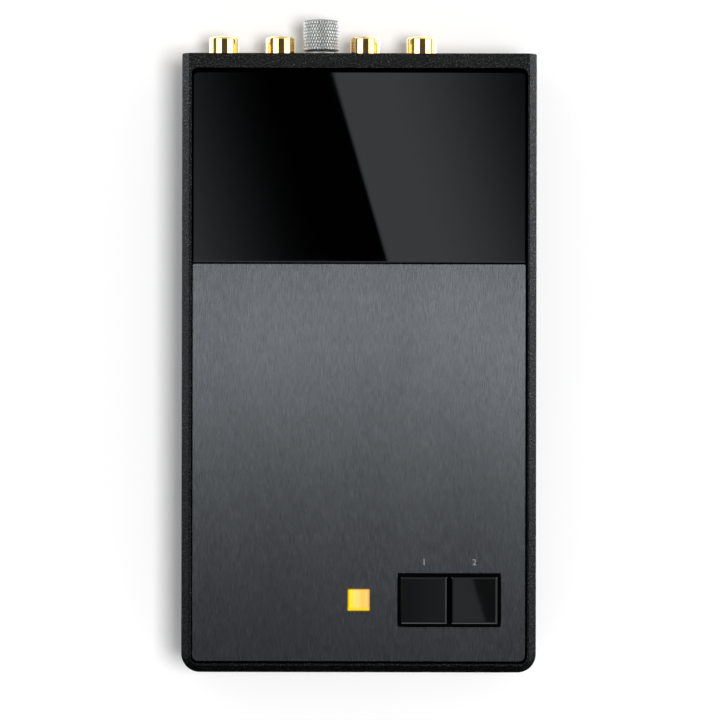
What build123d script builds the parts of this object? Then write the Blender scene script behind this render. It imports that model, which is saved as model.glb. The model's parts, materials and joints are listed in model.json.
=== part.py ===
from build123d import *
import math
import os

os.makedirs("parts", exist_ok=True)

# Phono preamp in a flat cast case. Millimetres. The front of the case faces -Y, the jacks face +Y
# and +Z is up. The origin lies on the table, under the middle of the whole object.

# ---------------------------------------------------------------------------------------------
# Driving dimensions
# ---------------------------------------------------------------------------------------------

# General clearances
SEAT_CLEARANCE = 0.05
LOOSE_CLEARANCE = 0.1

# Hexagonal nuts stand on a corner, so that flats face left and right
HEXAGON_TURN = 30.0

# Case shell
CASE_WIDTH = 100.0
CASE_LENGTH = 174.4
CASE_HEIGHT = 32.0
SIDE_WALL = 3.0
ROOF_THICKNESS = 2.0
FRONT_CORNER_RADIUS = 5.2
REAR_CORNER_RADIUS = 0.5
TOP_EDGE_CHAMFER = 2.0
SIDE_RIM = 0.5
FRONT_RIM = 0.6
REAR_STRIP = 4.1
RECESS_DEPTH = 2.0
RECESS_CORNER_RADIUS = 2.2

# Glass panel and brushed plate in the recess of the roof
ADHESIVE_THICKNESS = 0.3
ADHESIVE_MARGIN = 2.0
PANEL_SIDE_GAP = 0.6
PANEL_FRONT_GAP = 0.6
PANEL_REAR_GAP = 1.1
PANEL_SEAM = 0.4
GLASS_LENGTH = 53.7
GLASS_THICKNESS = 1.6
GLASS_CORNER_RADIUS = 1.5
GLASS_BEVEL = 0.3
PLATE_THICKNESS = 1.5
PLATE_CORNER_RADIUS = 1.7
PLATE_EDGE_BREAK = 0.12
SEAM_CORNER_RADIUS = 0.5

# Feet, bottom cover and its screws
FOOT_HEIGHT = 3.0
FOOT_RADIUS = 6.0
FOOT_EDGE_ROUND = 0.8
FOOT_SIDE_INSET = 16.0
FOOT_END_INSET = 16.6
COVER_THICKNESS = 1.5
COVER_LEDGE = 1.5
COVER_GAP = 0.15
COVER_REAR_INSET = 1.0
COVER_BOSS_RADIUS = 3.4
COVER_BOSS_FROM_WALL = 3.4
COVER_BOSS_END_INSET = 7.4
COVER_BOSS_REAR_INSET = 25.8
COVER_SCREW_RADIUS = 1.25
COVER_SCREW_HEAD_RADIUS = 2.4
COVER_SCREW_LENGTH = 9.0
SCREW_HOLE_END_GAP = 1.0
HEX_SOCKET_RADIUS = 0.85
HEX_SOCKET_DEPTH = 0.8

# Rear panel and its screws
PANEL_INSET = 2.0
PANEL_THICKNESS = 2.0
PANEL_SCREW_RADIUS = 1.25
PANEL_SCREW_HEAD_RADIUS = 2.2
PANEL_SCREW_HEAD_HEIGHT = 1.6
PANEL_SCREW_LENGTH = 7.0
PANEL_BOSS_WIDTH = 5.0
PANEL_BOSS_HEIGHT = 5.6
PANEL_BOSS_LENGTH = 8.0

# Main circuit board, its standoffs and screws
BOARD_THICKNESS = 1.6
BOARD_FRONT_GAP = 7.6
BOARD_REAR_GAP = 0.5
BOARD_BOSS_GAP = 0.7
BOARD_WIDE_LENGTH = 15.3
BOARD_WIDE_MARGIN = 2.5
BOARD_NOTCH_GAP = 0.6
BOARD_CORNER_RADIUS = 1.0
STANDOFF_HEIGHT = 4.5
STANDOFF_ACROSS_FLATS = 5.5
STANDOFF_SHANK_RADIUS = 2.0
STANDOFF_SIDE_INSET = 16.0
STANDOFF_ROWS_FROM_REAR = (25.8, 85.8)
STANDOFF_ROW_FROM_FRONT = 32.8
BOARD_SCREW_RADIUS = 1.5
BOARD_SCREW_HEAD_RADIUS = 2.75
BOARD_SCREW_HEAD_HEIGHT = 1.9
BOARD_SCREW_LENGTH = 5.0

# Push buttons, their bezel and switches
BEZEL_FROM_SIDE = 24.5
BUTTON_FROM_FRONT = 20.5
BUTTON_WIDTH = 13.1
BUTTON_LENGTH = 13.25
BUTTON_PITCH = 14.15
BUTTON_PROUD = 1.0
BUTTON_HEIGHT = 9.0
BUTTON_WALL = 1.2
BUTTON_TOP = 1.5
BUTTON_EDGE_CHAMFER = 0.45
BUTTON_TRAVEL = 2.0
BUTTON_CLEARANCE = 0.15
BEZEL_WALL = 0.7
BEZEL_SET_BACK = 0.3
BEZEL_FLANGE_WIDTH = 1.5
BEZEL_FLANGE_THICKNESS = 1.5
SWITCH_WIDTH = 8.5
SWITCH_WALL = 1.2
SWITCH_SPARE_DEPTH = 0.85
SWITCH_BASE_THICKNESS = 1.5
PLUNGER_WIDTH = 3.0
PLUNGER_SHOULDER_WIDTH = 5.5
PLUNGER_SHOULDER_HEIGHT = 1.8
SOCKET_WALL = 1.1
SPRING_WIRE_RADIUS = 0.2
SPRING_RADIUS = 1.9
SPRING_TURNS = 4.0

# Indicator
LENS_WIDTH = 6.1
LENS_CORNER_RADIUS = 0.25
LENS_STEM_WIDTH = 4.0
LENS_FLANGE_WIDTH = 8.1
LENS_FLANGE_THICKNESS = 1.5
LENS_TAPER_LENGTH = 6.0
LED_WIDTH = 5.0
LED_HEIGHT = 2.0
LED_DOME_RADIUS = 1.6
LED_DOME_GAP = 0.3

# Phono jacks
JACK_HEIGHT_ABOVE_BOARD = 8.0
JACK_FROM_SIDE = 11.1
BARREL_RADIUS = 4.2
BARREL_THREAD_RADIUS = 4.6
BARREL_THREAD_PAST_NUT = 0.2
BARREL_BORE_RADIUS = 3.25
BARREL_REACH = 6.0
BARREL_MOUTH_ROUND = 0.7
BARREL_BORE_ROUND = 0.2
BARREL_SEAT_DEPTH = 8.0
JACK_NUT_ACROSS_FLATS = 12.0
JACK_NUT_THICKNESS = 1.9
INSULATOR_SET_BACK = 0.5
CONTACT_RADIUS = 2.1
CONTACT_BORE_RADIUS = 1.6
CONTACT_BORE_DEPTH = 14.5
CONTACT_TAIL = 2.0
JACK_BLOCK_MARGIN = 6.0
JACK_BLOCK_LENGTH = 13.0
JACK_BLOCK_BOSS_GAP = 0.8
JACK_BLOCK_EDGE_ROUND = 0.5

# Ground terminal
GROUND_FROM_INPUT_JACK = 11.65
GROUND_FROM_OUTPUT_JACK = 12.5
GROUND_STUD_RADIUS = 2.0
GROUND_BUSHING_RADIUS = 4.6
GROUND_BUSHING_THICKNESS = 2.4
GROUND_WASHER_RADIUS = 5.0
GROUND_WASHER_THICKNESS = 1.3
THUMB_NUT_RADIUS = 5.1
THUMB_NUT_LENGTH = 9.1
THUMB_NUT_CHAMFER = 0.4
GROUND_STUD_SET_BACK = 1.0
GROUND_LUG_THICKNESS = 0.8
GROUND_LUG_RADIUS = 3.6
GROUND_LUG_TAIL_WIDTH = 3.0
GROUND_LUG_TAIL_DROP = 5.6
GROUND_LUG_BARREL_RADIUS = 1.3
GROUND_LUG_BARREL_LENGTH = 5.0
GROUND_WIRE_RADIUS = 0.8
GROUND_WIRE_RUN = 5.0
GROUND_WIRE_BEND = 1.8
LOCK_NUT_ACROSS_FLATS = 7.0
LOCK_NUT_THICKNESS = 3.2
GROUND_STUD_TAIL = 2.0

# Power inlet
POWER_FROM_SIDE = 14.0
POWER_EXTRA_PITCH = 2.0
POWER_AXIS_HEIGHT = 6.5
POWER_HOUSING_WIDTH = 9.0
POWER_HOUSING_HEIGHT = 11.0
POWER_HOUSING_LENGTH = 14.2
POWER_NOSE_RADIUS = 4.2
POWER_BORE_RADIUS = 3.15
POWER_BORE_DEPTH = 11.5
POWER_PIN_RADIUS = 1.0
POWER_PIN_SET_BACK = 1.0
POWER_PIN_TAIL = 1.5
POWER_PIN_TAIL_RADIUS = 0.7
POWER_CONTACT_WIDTH = 2.0
POWER_CONTACT_LENGTH = 7.0
POWER_CONTACT_THICKNESS = 0.4

# Gain and load selectors under the board
SELECTOR_SIDE_INSET = 30.0
SELECTOR_FROM_REAR = 46.8
SELECTOR_COUNT = 4
SELECTOR_PITCH = 2.54
SELECTOR_END_WALL = 2.0
SELECTOR_WIDTH = 7.0
SELECTOR_HEIGHT = 3.4
SLIDER_WIDTH = 1.3
SLIDER_LENGTH = 1.6
SLIDER_SEAT_DEPTH = 1.6
SLIDER_PROUD = 0.6
SLIDER_TRAVEL = 1.2
WINDOW_MARGIN = 1.0

# Parts on the board
SUPPLY_CAPACITOR_RADIUS = 5.0
SUPPLY_CAPACITOR_HEIGHT = 16.0
SUPPLY_CAPACITOR_COUNT = 6
SUPPLY_CAPACITOR_PITCH = 11.6
SUPPLY_CAPACITORS_FROM_REAR = 73.8
FILM_CAPACITOR_WIDTH = 3.5
FILM_CAPACITOR_LENGTH = 7.2
FILM_CAPACITOR_HEIGHT = 8.0
FILM_CAPACITOR_COUNT = 8
FILM_CAPACITOR_PITCH = 8.0
FILM_CAPACITORS_FROM_REAR = 33.8
OP_AMP_WIDTH = 9.4
OP_AMP_LENGTH = 6.4
OP_AMP_HEIGHT = 3.3
OP_AMP_COUNT = 4
OP_AMP_PITCH = 18.0
OP_AMPS_FROM_REAR = 54.8
LEG_WIDTH = 0.6
LEG_PITCH = 2.54
LEG_HEIGHT = 1.0
REGULATOR_WIDTH = 10.0
REGULATOR_DEPTH = 4.5
REGULATOR_HEIGHT = 9.0
REGULATOR_TAB_HEIGHT = 6.0
REGULATOR_TAB_THICKNESS = 1.3
REGULATOR_COUNT = 2
REGULATOR_PITCH = 26.0
REGULATORS_FROM_REAR = 90.8

# ---------------------------------------------------------------------------------------------
# Levels and lines worked out from the driving dimensions
# ---------------------------------------------------------------------------------------------

KNOB_REACH = GROUND_BUSHING_THICKNESS + GROUND_WASHER_THICKNESS + THUMB_NUT_LENGTH - PANEL_INSET
FRONT_Y = -(CASE_LENGTH + KNOB_REACH) / 2
REAR_Y = FRONT_Y + CASE_LENGTH

SHELL_BOTTOM = FOOT_HEIGHT
SHELL_TOP = SHELL_BOTTOM + CASE_HEIGHT
RECESS_FLOOR = SHELL_TOP - RECESS_DEPTH
CEILING = RECESS_FLOOR - ROOF_THICKNESS
PLATE_BOTTOM = RECESS_FLOOR + ADHESIVE_THICKNESS
PLATE_TOP = PLATE_BOTTOM + PLATE_THICKNESS

INNER_X = CASE_WIDTH / 2 - SIDE_WALL
INNER_FRONT_Y = FRONT_Y + SIDE_WALL

RECESS_WIDTH = CASE_WIDTH - 2 * (TOP_EDGE_CHAMFER + SIDE_RIM)
RECESS_FRONT_Y = FRONT_Y + TOP_EDGE_CHAMFER + FRONT_RIM
RECESS_REAR_Y = REAR_Y - REAR_STRIP
PANEL_WIDTH = RECESS_WIDTH - 2 * PANEL_SIDE_GAP
GLASS_REAR_Y = RECESS_REAR_Y - PANEL_REAR_GAP
GLASS_FRONT_Y = GLASS_REAR_Y - GLASS_LENGTH
PLATE_REAR_Y = GLASS_FRONT_Y - PANEL_SEAM
PLATE_FRONT_Y = RECESS_FRONT_Y + PANEL_FRONT_GAP

COVER_TOP = SHELL_BOTTOM + COVER_THICKNESS
COVER_WIDTH = CASE_WIDTH - 2 * (COVER_LEDGE + COVER_GAP)
COVER_FRONT_Y = FRONT_Y + COVER_LEDGE + COVER_GAP
COVER_REAR_Y = REAR_Y - COVER_REAR_INSET
COVER_BOSS_X = INNER_X - COVER_BOSS_FROM_WALL
COVER_BOSS_FRONT_Y = FRONT_Y + COVER_BOSS_END_INSET
COVER_BOSS_REAR_Y = REAR_Y - COVER_BOSS_REAR_INSET
COVER_BOSS_ROWS = (
    COVER_BOSS_FRONT_Y,
    (COVER_BOSS_FRONT_Y + COVER_BOSS_REAR_Y) / 2,
    COVER_BOSS_REAR_Y,
)

PANEL_OUTER_Y = REAR_Y - PANEL_INSET
PANEL_INNER_Y = PANEL_OUTER_Y - PANEL_THICKNESS
PANEL_BOSS_X = INNER_X - PANEL_BOSS_WIDTH / 2

BOARD_BOTTOM = COVER_TOP + STANDOFF_HEIGHT
BOARD_TOP = BOARD_BOTTOM + BOARD_THICKNESS
BOARD_FRONT_Y = INNER_FRONT_Y + BOARD_FRONT_GAP
BOARD_REAR_Y = PANEL_INNER_Y - BOARD_REAR_GAP
BOARD_X = COVER_BOSS_X - COVER_BOSS_RADIUS - BOARD_BOSS_GAP
STANDOFF_X = CASE_WIDTH / 2 - STANDOFF_SIDE_INSET
STANDOFF_ROWS = [REAR_Y - row for row in STANDOFF_ROWS_FROM_REAR] + [FRONT_Y + STANDOFF_ROW_FROM_FRONT]

BEZEL_X = CASE_WIDTH / 2 - BEZEL_FROM_SIDE
BUTTON_Y = FRONT_Y + BUTTON_FROM_FRONT
BUTTON_TOP_Z = PLATE_TOP + BUTTON_PROUD
BUTTON_BOTTOM_Z = BUTTON_TOP_Z - BUTTON_HEIGHT
BUTTONS_X = (BEZEL_X - BUTTON_PITCH / 2, BEZEL_X + BUTTON_PITCH / 2)
WINDOW_WIDTH = BUTTON_WIDTH + 2 * BUTTON_CLEARANCE
WINDOW_LENGTH = BUTTON_LENGTH + 2 * BUTTON_CLEARANCE
BEZEL_WIDTH = BUTTON_PITCH + WINDOW_WIDTH + 2 * BEZEL_WALL
BEZEL_LENGTH = WINDOW_LENGTH + 2 * BEZEL_WALL
BEZEL_OPENING_WIDTH = BEZEL_WIDTH + 2 * SEAT_CLEARANCE
BEZEL_OPENING_LENGTH = BEZEL_LENGTH + 2 * SEAT_CLEARANCE
SWITCH_BASE_TOP = BOARD_TOP + SWITCH_BASE_THICKNESS
PRESSED_SPRING_HEIGHT = 2 * SPRING_TURNS * SPRING_WIRE_RADIUS + SWITCH_SPARE_DEPTH
PLUNGER_SHOULDER_BOTTOM = SWITCH_BASE_TOP + PRESSED_SPRING_HEIGHT + BUTTON_TRAVEL
PLUNGER_SHOULDER_TOP = PLUNGER_SHOULDER_BOTTOM + PLUNGER_SHOULDER_HEIGHT
SWITCH_TOP = PLUNGER_SHOULDER_TOP + SEAT_CLEARANCE + SWITCH_WALL

ROW_WIDTH = CASE_WIDTH - JACK_FROM_SIDE - POWER_FROM_SIDE
GROUND_BAY_WIDTH = GROUND_FROM_INPUT_JACK + GROUND_FROM_OUTPUT_JACK
JACK_PITCH = (ROW_WIDTH - GROUND_BAY_WIDTH - POWER_EXTRA_PITCH) / 3
INPUT_LEFT_X = JACK_FROM_SIDE - CASE_WIDTH / 2
INPUT_JACKS_X = (INPUT_LEFT_X, INPUT_LEFT_X + JACK_PITCH)
GROUND_X = INPUT_JACKS_X[-1] + GROUND_FROM_INPUT_JACK
OUTPUT_LEFT_X = GROUND_X + GROUND_FROM_OUTPUT_JACK
OUTPUT_JACKS_X = (OUTPUT_LEFT_X, OUTPUT_LEFT_X + JACK_PITCH)
JACK_Z = BOARD_TOP + JACK_HEIGHT_ABOVE_BOARD
BARREL_MOUTH_Y = REAR_Y + BARREL_REACH
JACK_NUT_END_Y = PANEL_OUTER_Y + JACK_NUT_THICKNESS
BARREL_SHOULDER_Y = JACK_NUT_END_Y + BARREL_THREAD_PAST_NUT
JACK_BLOCK_FRONT_Y = PANEL_INNER_Y - LOOSE_CLEARANCE
JACK_BLOCK_TOP = CEILING - PANEL_BOSS_HEIGHT - JACK_BLOCK_BOSS_GAP
BARREL_SEAT_Y = JACK_BLOCK_FRONT_Y - BARREL_SEAT_DEPTH
CONTACT_FRONT_Y = BARREL_MOUTH_Y - INSULATOR_SET_BACK
CONTACT_END_Y = BARREL_SEAT_Y - CONTACT_TAIL

GROUND_BUSHING_END_Y = PANEL_OUTER_Y + GROUND_BUSHING_THICKNESS
GROUND_WASHER_END_Y = GROUND_BUSHING_END_Y + GROUND_WASHER_THICKNESS
THUMB_NUT_END_Y = GROUND_WASHER_END_Y + THUMB_NUT_LENGTH
GROUND_LUG_END_Y = PANEL_INNER_Y - GROUND_LUG_THICKNESS
LOCK_NUT_END_Y = GROUND_LUG_END_Y - LOCK_NUT_THICKNESS
GROUND_WIRE_Z = JACK_Z - GROUND_LUG_TAIL_DROP

POWER_X = CASE_WIDTH / 2 - POWER_FROM_SIDE
POWER_Z = BOARD_TOP + POWER_AXIS_HEIGHT
POWER_FRONT_Y = PANEL_INNER_Y - LOOSE_CLEARANCE
POWER_BORE_END_Y = PANEL_OUTER_Y - POWER_BORE_DEPTH
POWER_PIN_END_Y = POWER_BORE_END_Y - POWER_PIN_TAIL

SELECTOR_X = CASE_WIDTH / 2 - SELECTOR_SIDE_INSET
SELECTOR_Y = REAR_Y - SELECTOR_FROM_REAR
SELECTOR_BOTTOM = BOARD_BOTTOM - SELECTOR_HEIGHT
SELECTOR_LENGTH = (SELECTOR_COUNT - 1) * SELECTOR_PITCH + SLIDER_WIDTH + 2 * SELECTOR_END_WALL
SLOT_LENGTH = SLIDER_LENGTH + SLIDER_TRAVEL + 2 * LOOSE_CLEARANCE
SLIDER_REST_Y = SELECTOR_Y - SLOT_LENGTH / 2 + LOOSE_CLEARANCE + SLIDER_LENGTH / 2


# ---------------------------------------------------------------------------------------------
# Shared shapes
# ---------------------------------------------------------------------------------------------


def block(x_range, y_range, z_range):
    """Box that fills three ranges."""
    spans = (x_range, y_range, z_range)
    middle = [(low + high) / 2 for low, high in spans]
    size = [high - low for low, high in spans]
    return Pos(*middle) * Box(*size)


def centred_block(x, y, width, length, z_range):
    """Box centred on a vertical line."""
    return block((x - width / 2, x + width / 2), (y - length / 2, y + length / 2), z_range)


def rod_z(radius, x, y, z_range):
    """Upright cylinder."""
    low, high = z_range
    return Pos(x, y, low) * extrude(Circle(radius), high - low)


def rod_y(radius, x, z, y_range):
    """Cylinder that lies along Y."""
    low, high = y_range
    return Pos(x, high, z) * Rot(90, 0, 0) * extrude(Circle(radius), high - low)


def hexagon_y(across_flats, x, z, y_range):
    """Hexagonal bar that lies along Y, with flats to its left and right."""
    low, high = y_range
    outline = RegularPolygon(across_flats / 2, 6, major_radius=False, rotation=HEXAGON_TURN)
    return Pos(x, high, z) * Rot(90, 0, 0) * extrude(outline, high - low)


def plate_outline(width, y_range, front_radius, rear_radius):
    """Rectangle on the middle line with its own corner radius at the front and at the rear."""
    low, high = y_range
    outline = Pos(0, (low + high) / 2) * Rectangle(width, high - low)
    if front_radius > 0:
        outline = fillet(outline.vertices().group_by(Axis.Y)[0], front_radius)
    if rear_radius > 0:
        outline = fillet(outline.vertices().group_by(Axis.Y)[-1], rear_radius)
    return outline


def plate(width, y_range, z_range, front_radius=0.0, rear_radius=0.0):
    """Flat plate with rounded corners."""
    low, high = z_range
    outline = plate_outline(width, y_range, front_radius, rear_radius)
    return Pos(0, 0, low) * extrude(outline, high - low)


def rounded_pillar(x, y, width, length, radius, z_range):
    """Upright bar with rounded corners."""
    low, high = z_range
    return Pos(x, y, low) * extrude(RectangleRounded(width, length, radius), high - low)


def row_places(count, pitch):
    """Evenly spaced places about zero."""
    return [(index - (count - 1) / 2) * pitch for index in range(count)]


def group(solids):
    """Separate solids that share one node."""
    return Compound(children=list(solids))


def hex_socket():
    """Hexagonal key socket, its mouth at the origin, that runs up along +Z."""
    return extrude(RegularPolygon(HEX_SOCKET_RADIUS, 6), HEX_SOCKET_DEPTH)


def pan_screw(radius, head_radius, head_height, length):
    """Pan-head screw: the head's seat is at the origin, the head points to -Z, the thread to +Z."""
    head = Pos(0, 0, -head_height) * extrude(Circle(head_radius), head_height)
    head = fillet(head.edges().group_by(Axis.Z)[0], head_height / 2)
    thread = extrude(Circle(radius), length)
    return head + thread - Pos(0, 0, -head_height) * hex_socket()


def save(name, shape):
    """Write one node."""
    export_step(shape, f"parts/{name}.step")


# ---------------------------------------------------------------------------------------------
# Case
# ---------------------------------------------------------------------------------------------


def cover_boss_places():
    """Centres of the six bosses that take the cover screws."""
    return [(side * COVER_BOSS_X, y) for side in (-1, 1) for y in COVER_BOSS_ROWS]


def panel_boss_places():
    """Corners of the rear panel: centre X and centre Z of each screw boss."""
    low = COVER_TOP + PANEL_BOSS_HEIGHT / 2
    high = CEILING - PANEL_BOSS_HEIGHT / 2
    return [(side * PANEL_BOSS_X, z) for side in (-1, 1) for z in (low, high)]


def shell_outside():
    """Outer form: rounded front corners, and a chamfer along the sides and the front."""
    outside = plate(CASE_WIDTH, (FRONT_Y, REAR_Y), (SHELL_BOTTOM, SHELL_TOP), FRONT_CORNER_RADIUS)
    top_edges = outside.edges().group_by(Axis.Z)[-1]
    rear_edge = top_edges.sort_by(Axis.Y)[-1]
    outside = chamfer([edge for edge in top_edges if edge != rear_edge], TOP_EDGE_CHAMFER)
    rear_corners = outside.edges().filter_by(Axis.Z).group_by(Axis.Y)[-1]
    return fillet(rear_corners, REAR_CORNER_RADIUS)


def shell_bosses():
    """Bosses inside the shell for the cover screws and for the rear panel's screws."""
    bosses = []
    for x, y in cover_boss_places():
        z_range = (COVER_TOP, CEILING + ROOF_THICKNESS / 2)
        wall_x = math.copysign(INNER_X + SIDE_WALL / 2, x)
        rib = block(sorted((x, wall_x)), (y - COVER_BOSS_RADIUS, y + COVER_BOSS_RADIUS), z_range)
        bosses.append(rod_z(COVER_BOSS_RADIUS, x, y, z_range) + rib)
    for x, z in panel_boss_places():
        wall_x = math.copysign(INNER_X + SIDE_WALL / 2, x)
        inner_x = math.copysign(INNER_X - PANEL_BOSS_WIDTH, x)
        y_range = (PANEL_INNER_Y - PANEL_BOSS_LENGTH, PANEL_INNER_Y)
        z_range = (z - PANEL_BOSS_HEIGHT / 2, z + PANEL_BOSS_HEIGHT / 2)
        bosses.append(block(sorted((wall_x, inner_x)), y_range, z_range))
    return bosses


def case_shell():
    """One-piece shell, open at the bottom and at the rear, with a recess in its roof."""
    inner_radius = max(FRONT_CORNER_RADIUS - SIDE_WALL, REAR_CORNER_RADIUS)
    ledge_radius = max(FRONT_CORNER_RADIUS - COVER_LEDGE, REAR_CORNER_RADIUS)
    past_rear = REAR_Y + SIDE_WALL
    below = SHELL_BOTTOM - COVER_THICKNESS
    shell = shell_outside()
    shell -= plate(2 * INNER_X, (INNER_FRONT_Y, past_rear), (below, CEILING), inner_radius)
    ledge_width = CASE_WIDTH - 2 * COVER_LEDGE
    shell -= plate(ledge_width, (FRONT_Y + COVER_LEDGE, past_rear), (below, COVER_TOP), ledge_radius)
    recess_top = SHELL_TOP + RECESS_DEPTH
    shell -= plate(
        RECESS_WIDTH,
        (RECESS_FRONT_Y, RECESS_REAR_Y),
        (RECESS_FLOOR, recess_top),
        RECESS_CORNER_RADIUS,
        RECESS_CORNER_RADIUS,
    )
    shell -= panel_holes((CEILING - ROOF_THICKNESS, recess_top))
    shell += shell_bosses()
    hole_top = SHELL_BOTTOM + COVER_SCREW_LENGTH + SCREW_HOLE_END_GAP
    for x, y in cover_boss_places():
        shell -= rod_z(COVER_SCREW_RADIUS + SEAT_CLEARANCE, x, y, (below, hole_top))
    hole_end = PANEL_OUTER_Y - PANEL_SCREW_LENGTH - SCREW_HOLE_END_GAP
    for x, z in panel_boss_places():
        shell -= rod_y(PANEL_SCREW_RADIUS + SEAT_CLEARANCE, x, z, (hole_end, REAR_Y))
    return shell


def panel_holes(z_range):
    """Cutters for the button bezel and the indicator lens."""
    bezel_hole = centred_block(BEZEL_X, BUTTON_Y, BEZEL_OPENING_WIDTH, BEZEL_OPENING_LENGTH, z_range)
    lens_hole_width = LENS_WIDTH + 2 * SEAT_CLEARANCE
    lens_hole = rounded_pillar(
        0, BUTTON_Y, lens_hole_width, lens_hole_width, LENS_CORNER_RADIUS + SEAT_CLEARANCE, z_range
    )
    return [bezel_hole, lens_hole]


def glass_panel():
    """Black glass behind the brushed plate, with a ground bevel round its top edge."""
    top = PLATE_BOTTOM + GLASS_THICKNESS
    glass = plate(
        PANEL_WIDTH,
        (GLASS_FRONT_Y, GLASS_REAR_Y),
        (PLATE_BOTTOM, top),
        SEAM_CORNER_RADIUS,
        GLASS_CORNER_RADIUS,
    )
    return chamfer(glass.edges().group_by(Axis.Z)[-1], GLASS_BEVEL)


def top_plate():
    """Brushed plate with its openings and lightly broken edges."""
    brushed = plate(
        PANEL_WIDTH,
        (PLATE_FRONT_Y, PLATE_REAR_Y),
        (PLATE_BOTTOM, PLATE_TOP),
        PLATE_CORNER_RADIUS,
        SEAM_CORNER_RADIUS,
    )
    brushed -= panel_holes((PLATE_BOTTOM - PLATE_THICKNESS, PLATE_TOP + PLATE_THICKNESS))
    return chamfer(brushed.edges().group_by(Axis.Z)[-1], PLATE_EDGE_BREAK)


def panel_adhesive():
    """Adhesive sheets under the glass and under the plate."""
    width = PANEL_WIDTH - 2 * ADHESIVE_MARGIN
    z_range = (RECESS_FLOOR, PLATE_BOTTOM)
    under_glass = plate(
        width, (GLASS_FRONT_Y + ADHESIVE_MARGIN, GLASS_REAR_Y - ADHESIVE_MARGIN), z_range
    )
    under_plate = plate(
        width, (PLATE_FRONT_Y + ADHESIVE_MARGIN, PLATE_REAR_Y - ADHESIVE_MARGIN), z_range
    )
    under_plate -= panel_holes((RECESS_FLOOR - RECESS_DEPTH, SHELL_TOP))
    return group([under_glass, under_plate])


def standoff_places():
    """Centres of the board's standoffs."""
    return [(side * STANDOFF_X, y) for side in (-1, 1) for y in STANDOFF_ROWS]


def selector_centres():
    """Middle X of the left and of the right selector."""
    return {"left": -SELECTOR_X, "right": SELECTOR_X}


def bottom_cover():
    """Flat cover with countersunk holes, standoff holes and a window under each selector."""
    radius = max(FRONT_CORNER_RADIUS - COVER_LEDGE - COVER_GAP, REAR_CORNER_RADIUS)
    cover = plate(COVER_WIDTH, (COVER_FRONT_Y, COVER_REAR_Y), (SHELL_BOTTOM, COVER_TOP), radius)
    hole_radius = COVER_SCREW_RADIUS + LOOSE_CLEARANCE
    sink_radius = COVER_SCREW_HEAD_RADIUS + LOOSE_CLEARANCE
    through = (SHELL_BOTTOM - COVER_THICKNESS, COVER_TOP + COVER_THICKNESS)
    for x, y in cover_boss_places():
        cover -= rod_z(hole_radius, x, y, through)
        sink_depth = sink_radius - hole_radius
        sink = Cone(sink_radius, hole_radius, sink_depth)
        cover -= Pos(x, y, SHELL_BOTTOM + sink_depth / 2) * sink
    for x, y in standoff_places():
        cover -= rod_z(STANDOFF_SHANK_RADIUS + SEAT_CLEARANCE, x, y, through)
    window_length = SELECTOR_LENGTH + 2 * WINDOW_MARGIN
    window_width = SELECTOR_WIDTH + 2 * WINDOW_MARGIN
    for x in selector_centres().values():
        cover -= rounded_pillar(x, SELECTOR_Y, window_length, window_width, WINDOW_MARGIN, through)
    return cover


def cover_screw():
    """Countersunk screw, head down, its head face at the origin."""
    head_height = COVER_SCREW_HEAD_RADIUS - COVER_SCREW_RADIUS
    head = Pos(0, 0, head_height / 2) * Cone(COVER_SCREW_HEAD_RADIUS, COVER_SCREW_RADIUS, head_height)
    thread = extrude(Circle(COVER_SCREW_RADIUS), COVER_SCREW_LENGTH)
    return head + thread - hex_socket()


def cover_screws():
    """The six screws that hold the cover."""
    return group(Pos(x, y, SHELL_BOTTOM) * cover_screw() for x, y in cover_boss_places())


def foot_pads():
    """Four rubber feet stuck to the cover."""
    pads = []
    for side in (-1, 1):
        for y in (FRONT_Y + FOOT_END_INSET, REAR_Y - FOOT_END_INSET):
            pad = rod_z(FOOT_RADIUS, side * (CASE_WIDTH / 2 - FOOT_SIDE_INSET), y, (0, FOOT_HEIGHT))
            pads.append(fillet(pad.edges().group_by(Axis.Z)[0], FOOT_EDGE_ROUND))
    return group(pads)


def rear_panel():
    """Rear panel, set in from the case's edge, with holes for the jacks and the inlet."""
    edge = INNER_X - LOOSE_CLEARANCE
    z_range = (COVER_TOP + LOOSE_CLEARANCE, CEILING - LOOSE_CLEARANCE)
    panel = block((-edge, edge), (PANEL_INNER_Y, PANEL_OUTER_Y), z_range)
    through = (PANEL_INNER_Y - PANEL_THICKNESS, REAR_Y)
    for x in INPUT_JACKS_X + OUTPUT_JACKS_X:
        panel -= rod_y(BARREL_THREAD_RADIUS + LOOSE_CLEARANCE, x, JACK_Z, through)
    panel -= rod_y(GROUND_STUD_RADIUS + LOOSE_CLEARANCE, GROUND_X, JACK_Z, through)
    panel -= rod_y(POWER_NOSE_RADIUS + LOOSE_CLEARANCE, POWER_X, POWER_Z, through)
    for x, z in panel_boss_places():
        panel -= rod_y(PANEL_SCREW_RADIUS + LOOSE_CLEARANCE, x, z, through)
    return panel


def rear_panel_screws():
    """The four screws of the rear panel."""
    screw = pan_screw(
        PANEL_SCREW_RADIUS, PANEL_SCREW_HEAD_RADIUS, PANEL_SCREW_HEAD_HEIGHT, PANEL_SCREW_LENGTH
    )
    return group(Pos(x, PANEL_OUTER_Y, z) * Rot(90, 0, 0) * screw for x, z in panel_boss_places())


# ---------------------------------------------------------------------------------------------
# Push buttons and indicator
# ---------------------------------------------------------------------------------------------


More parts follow.
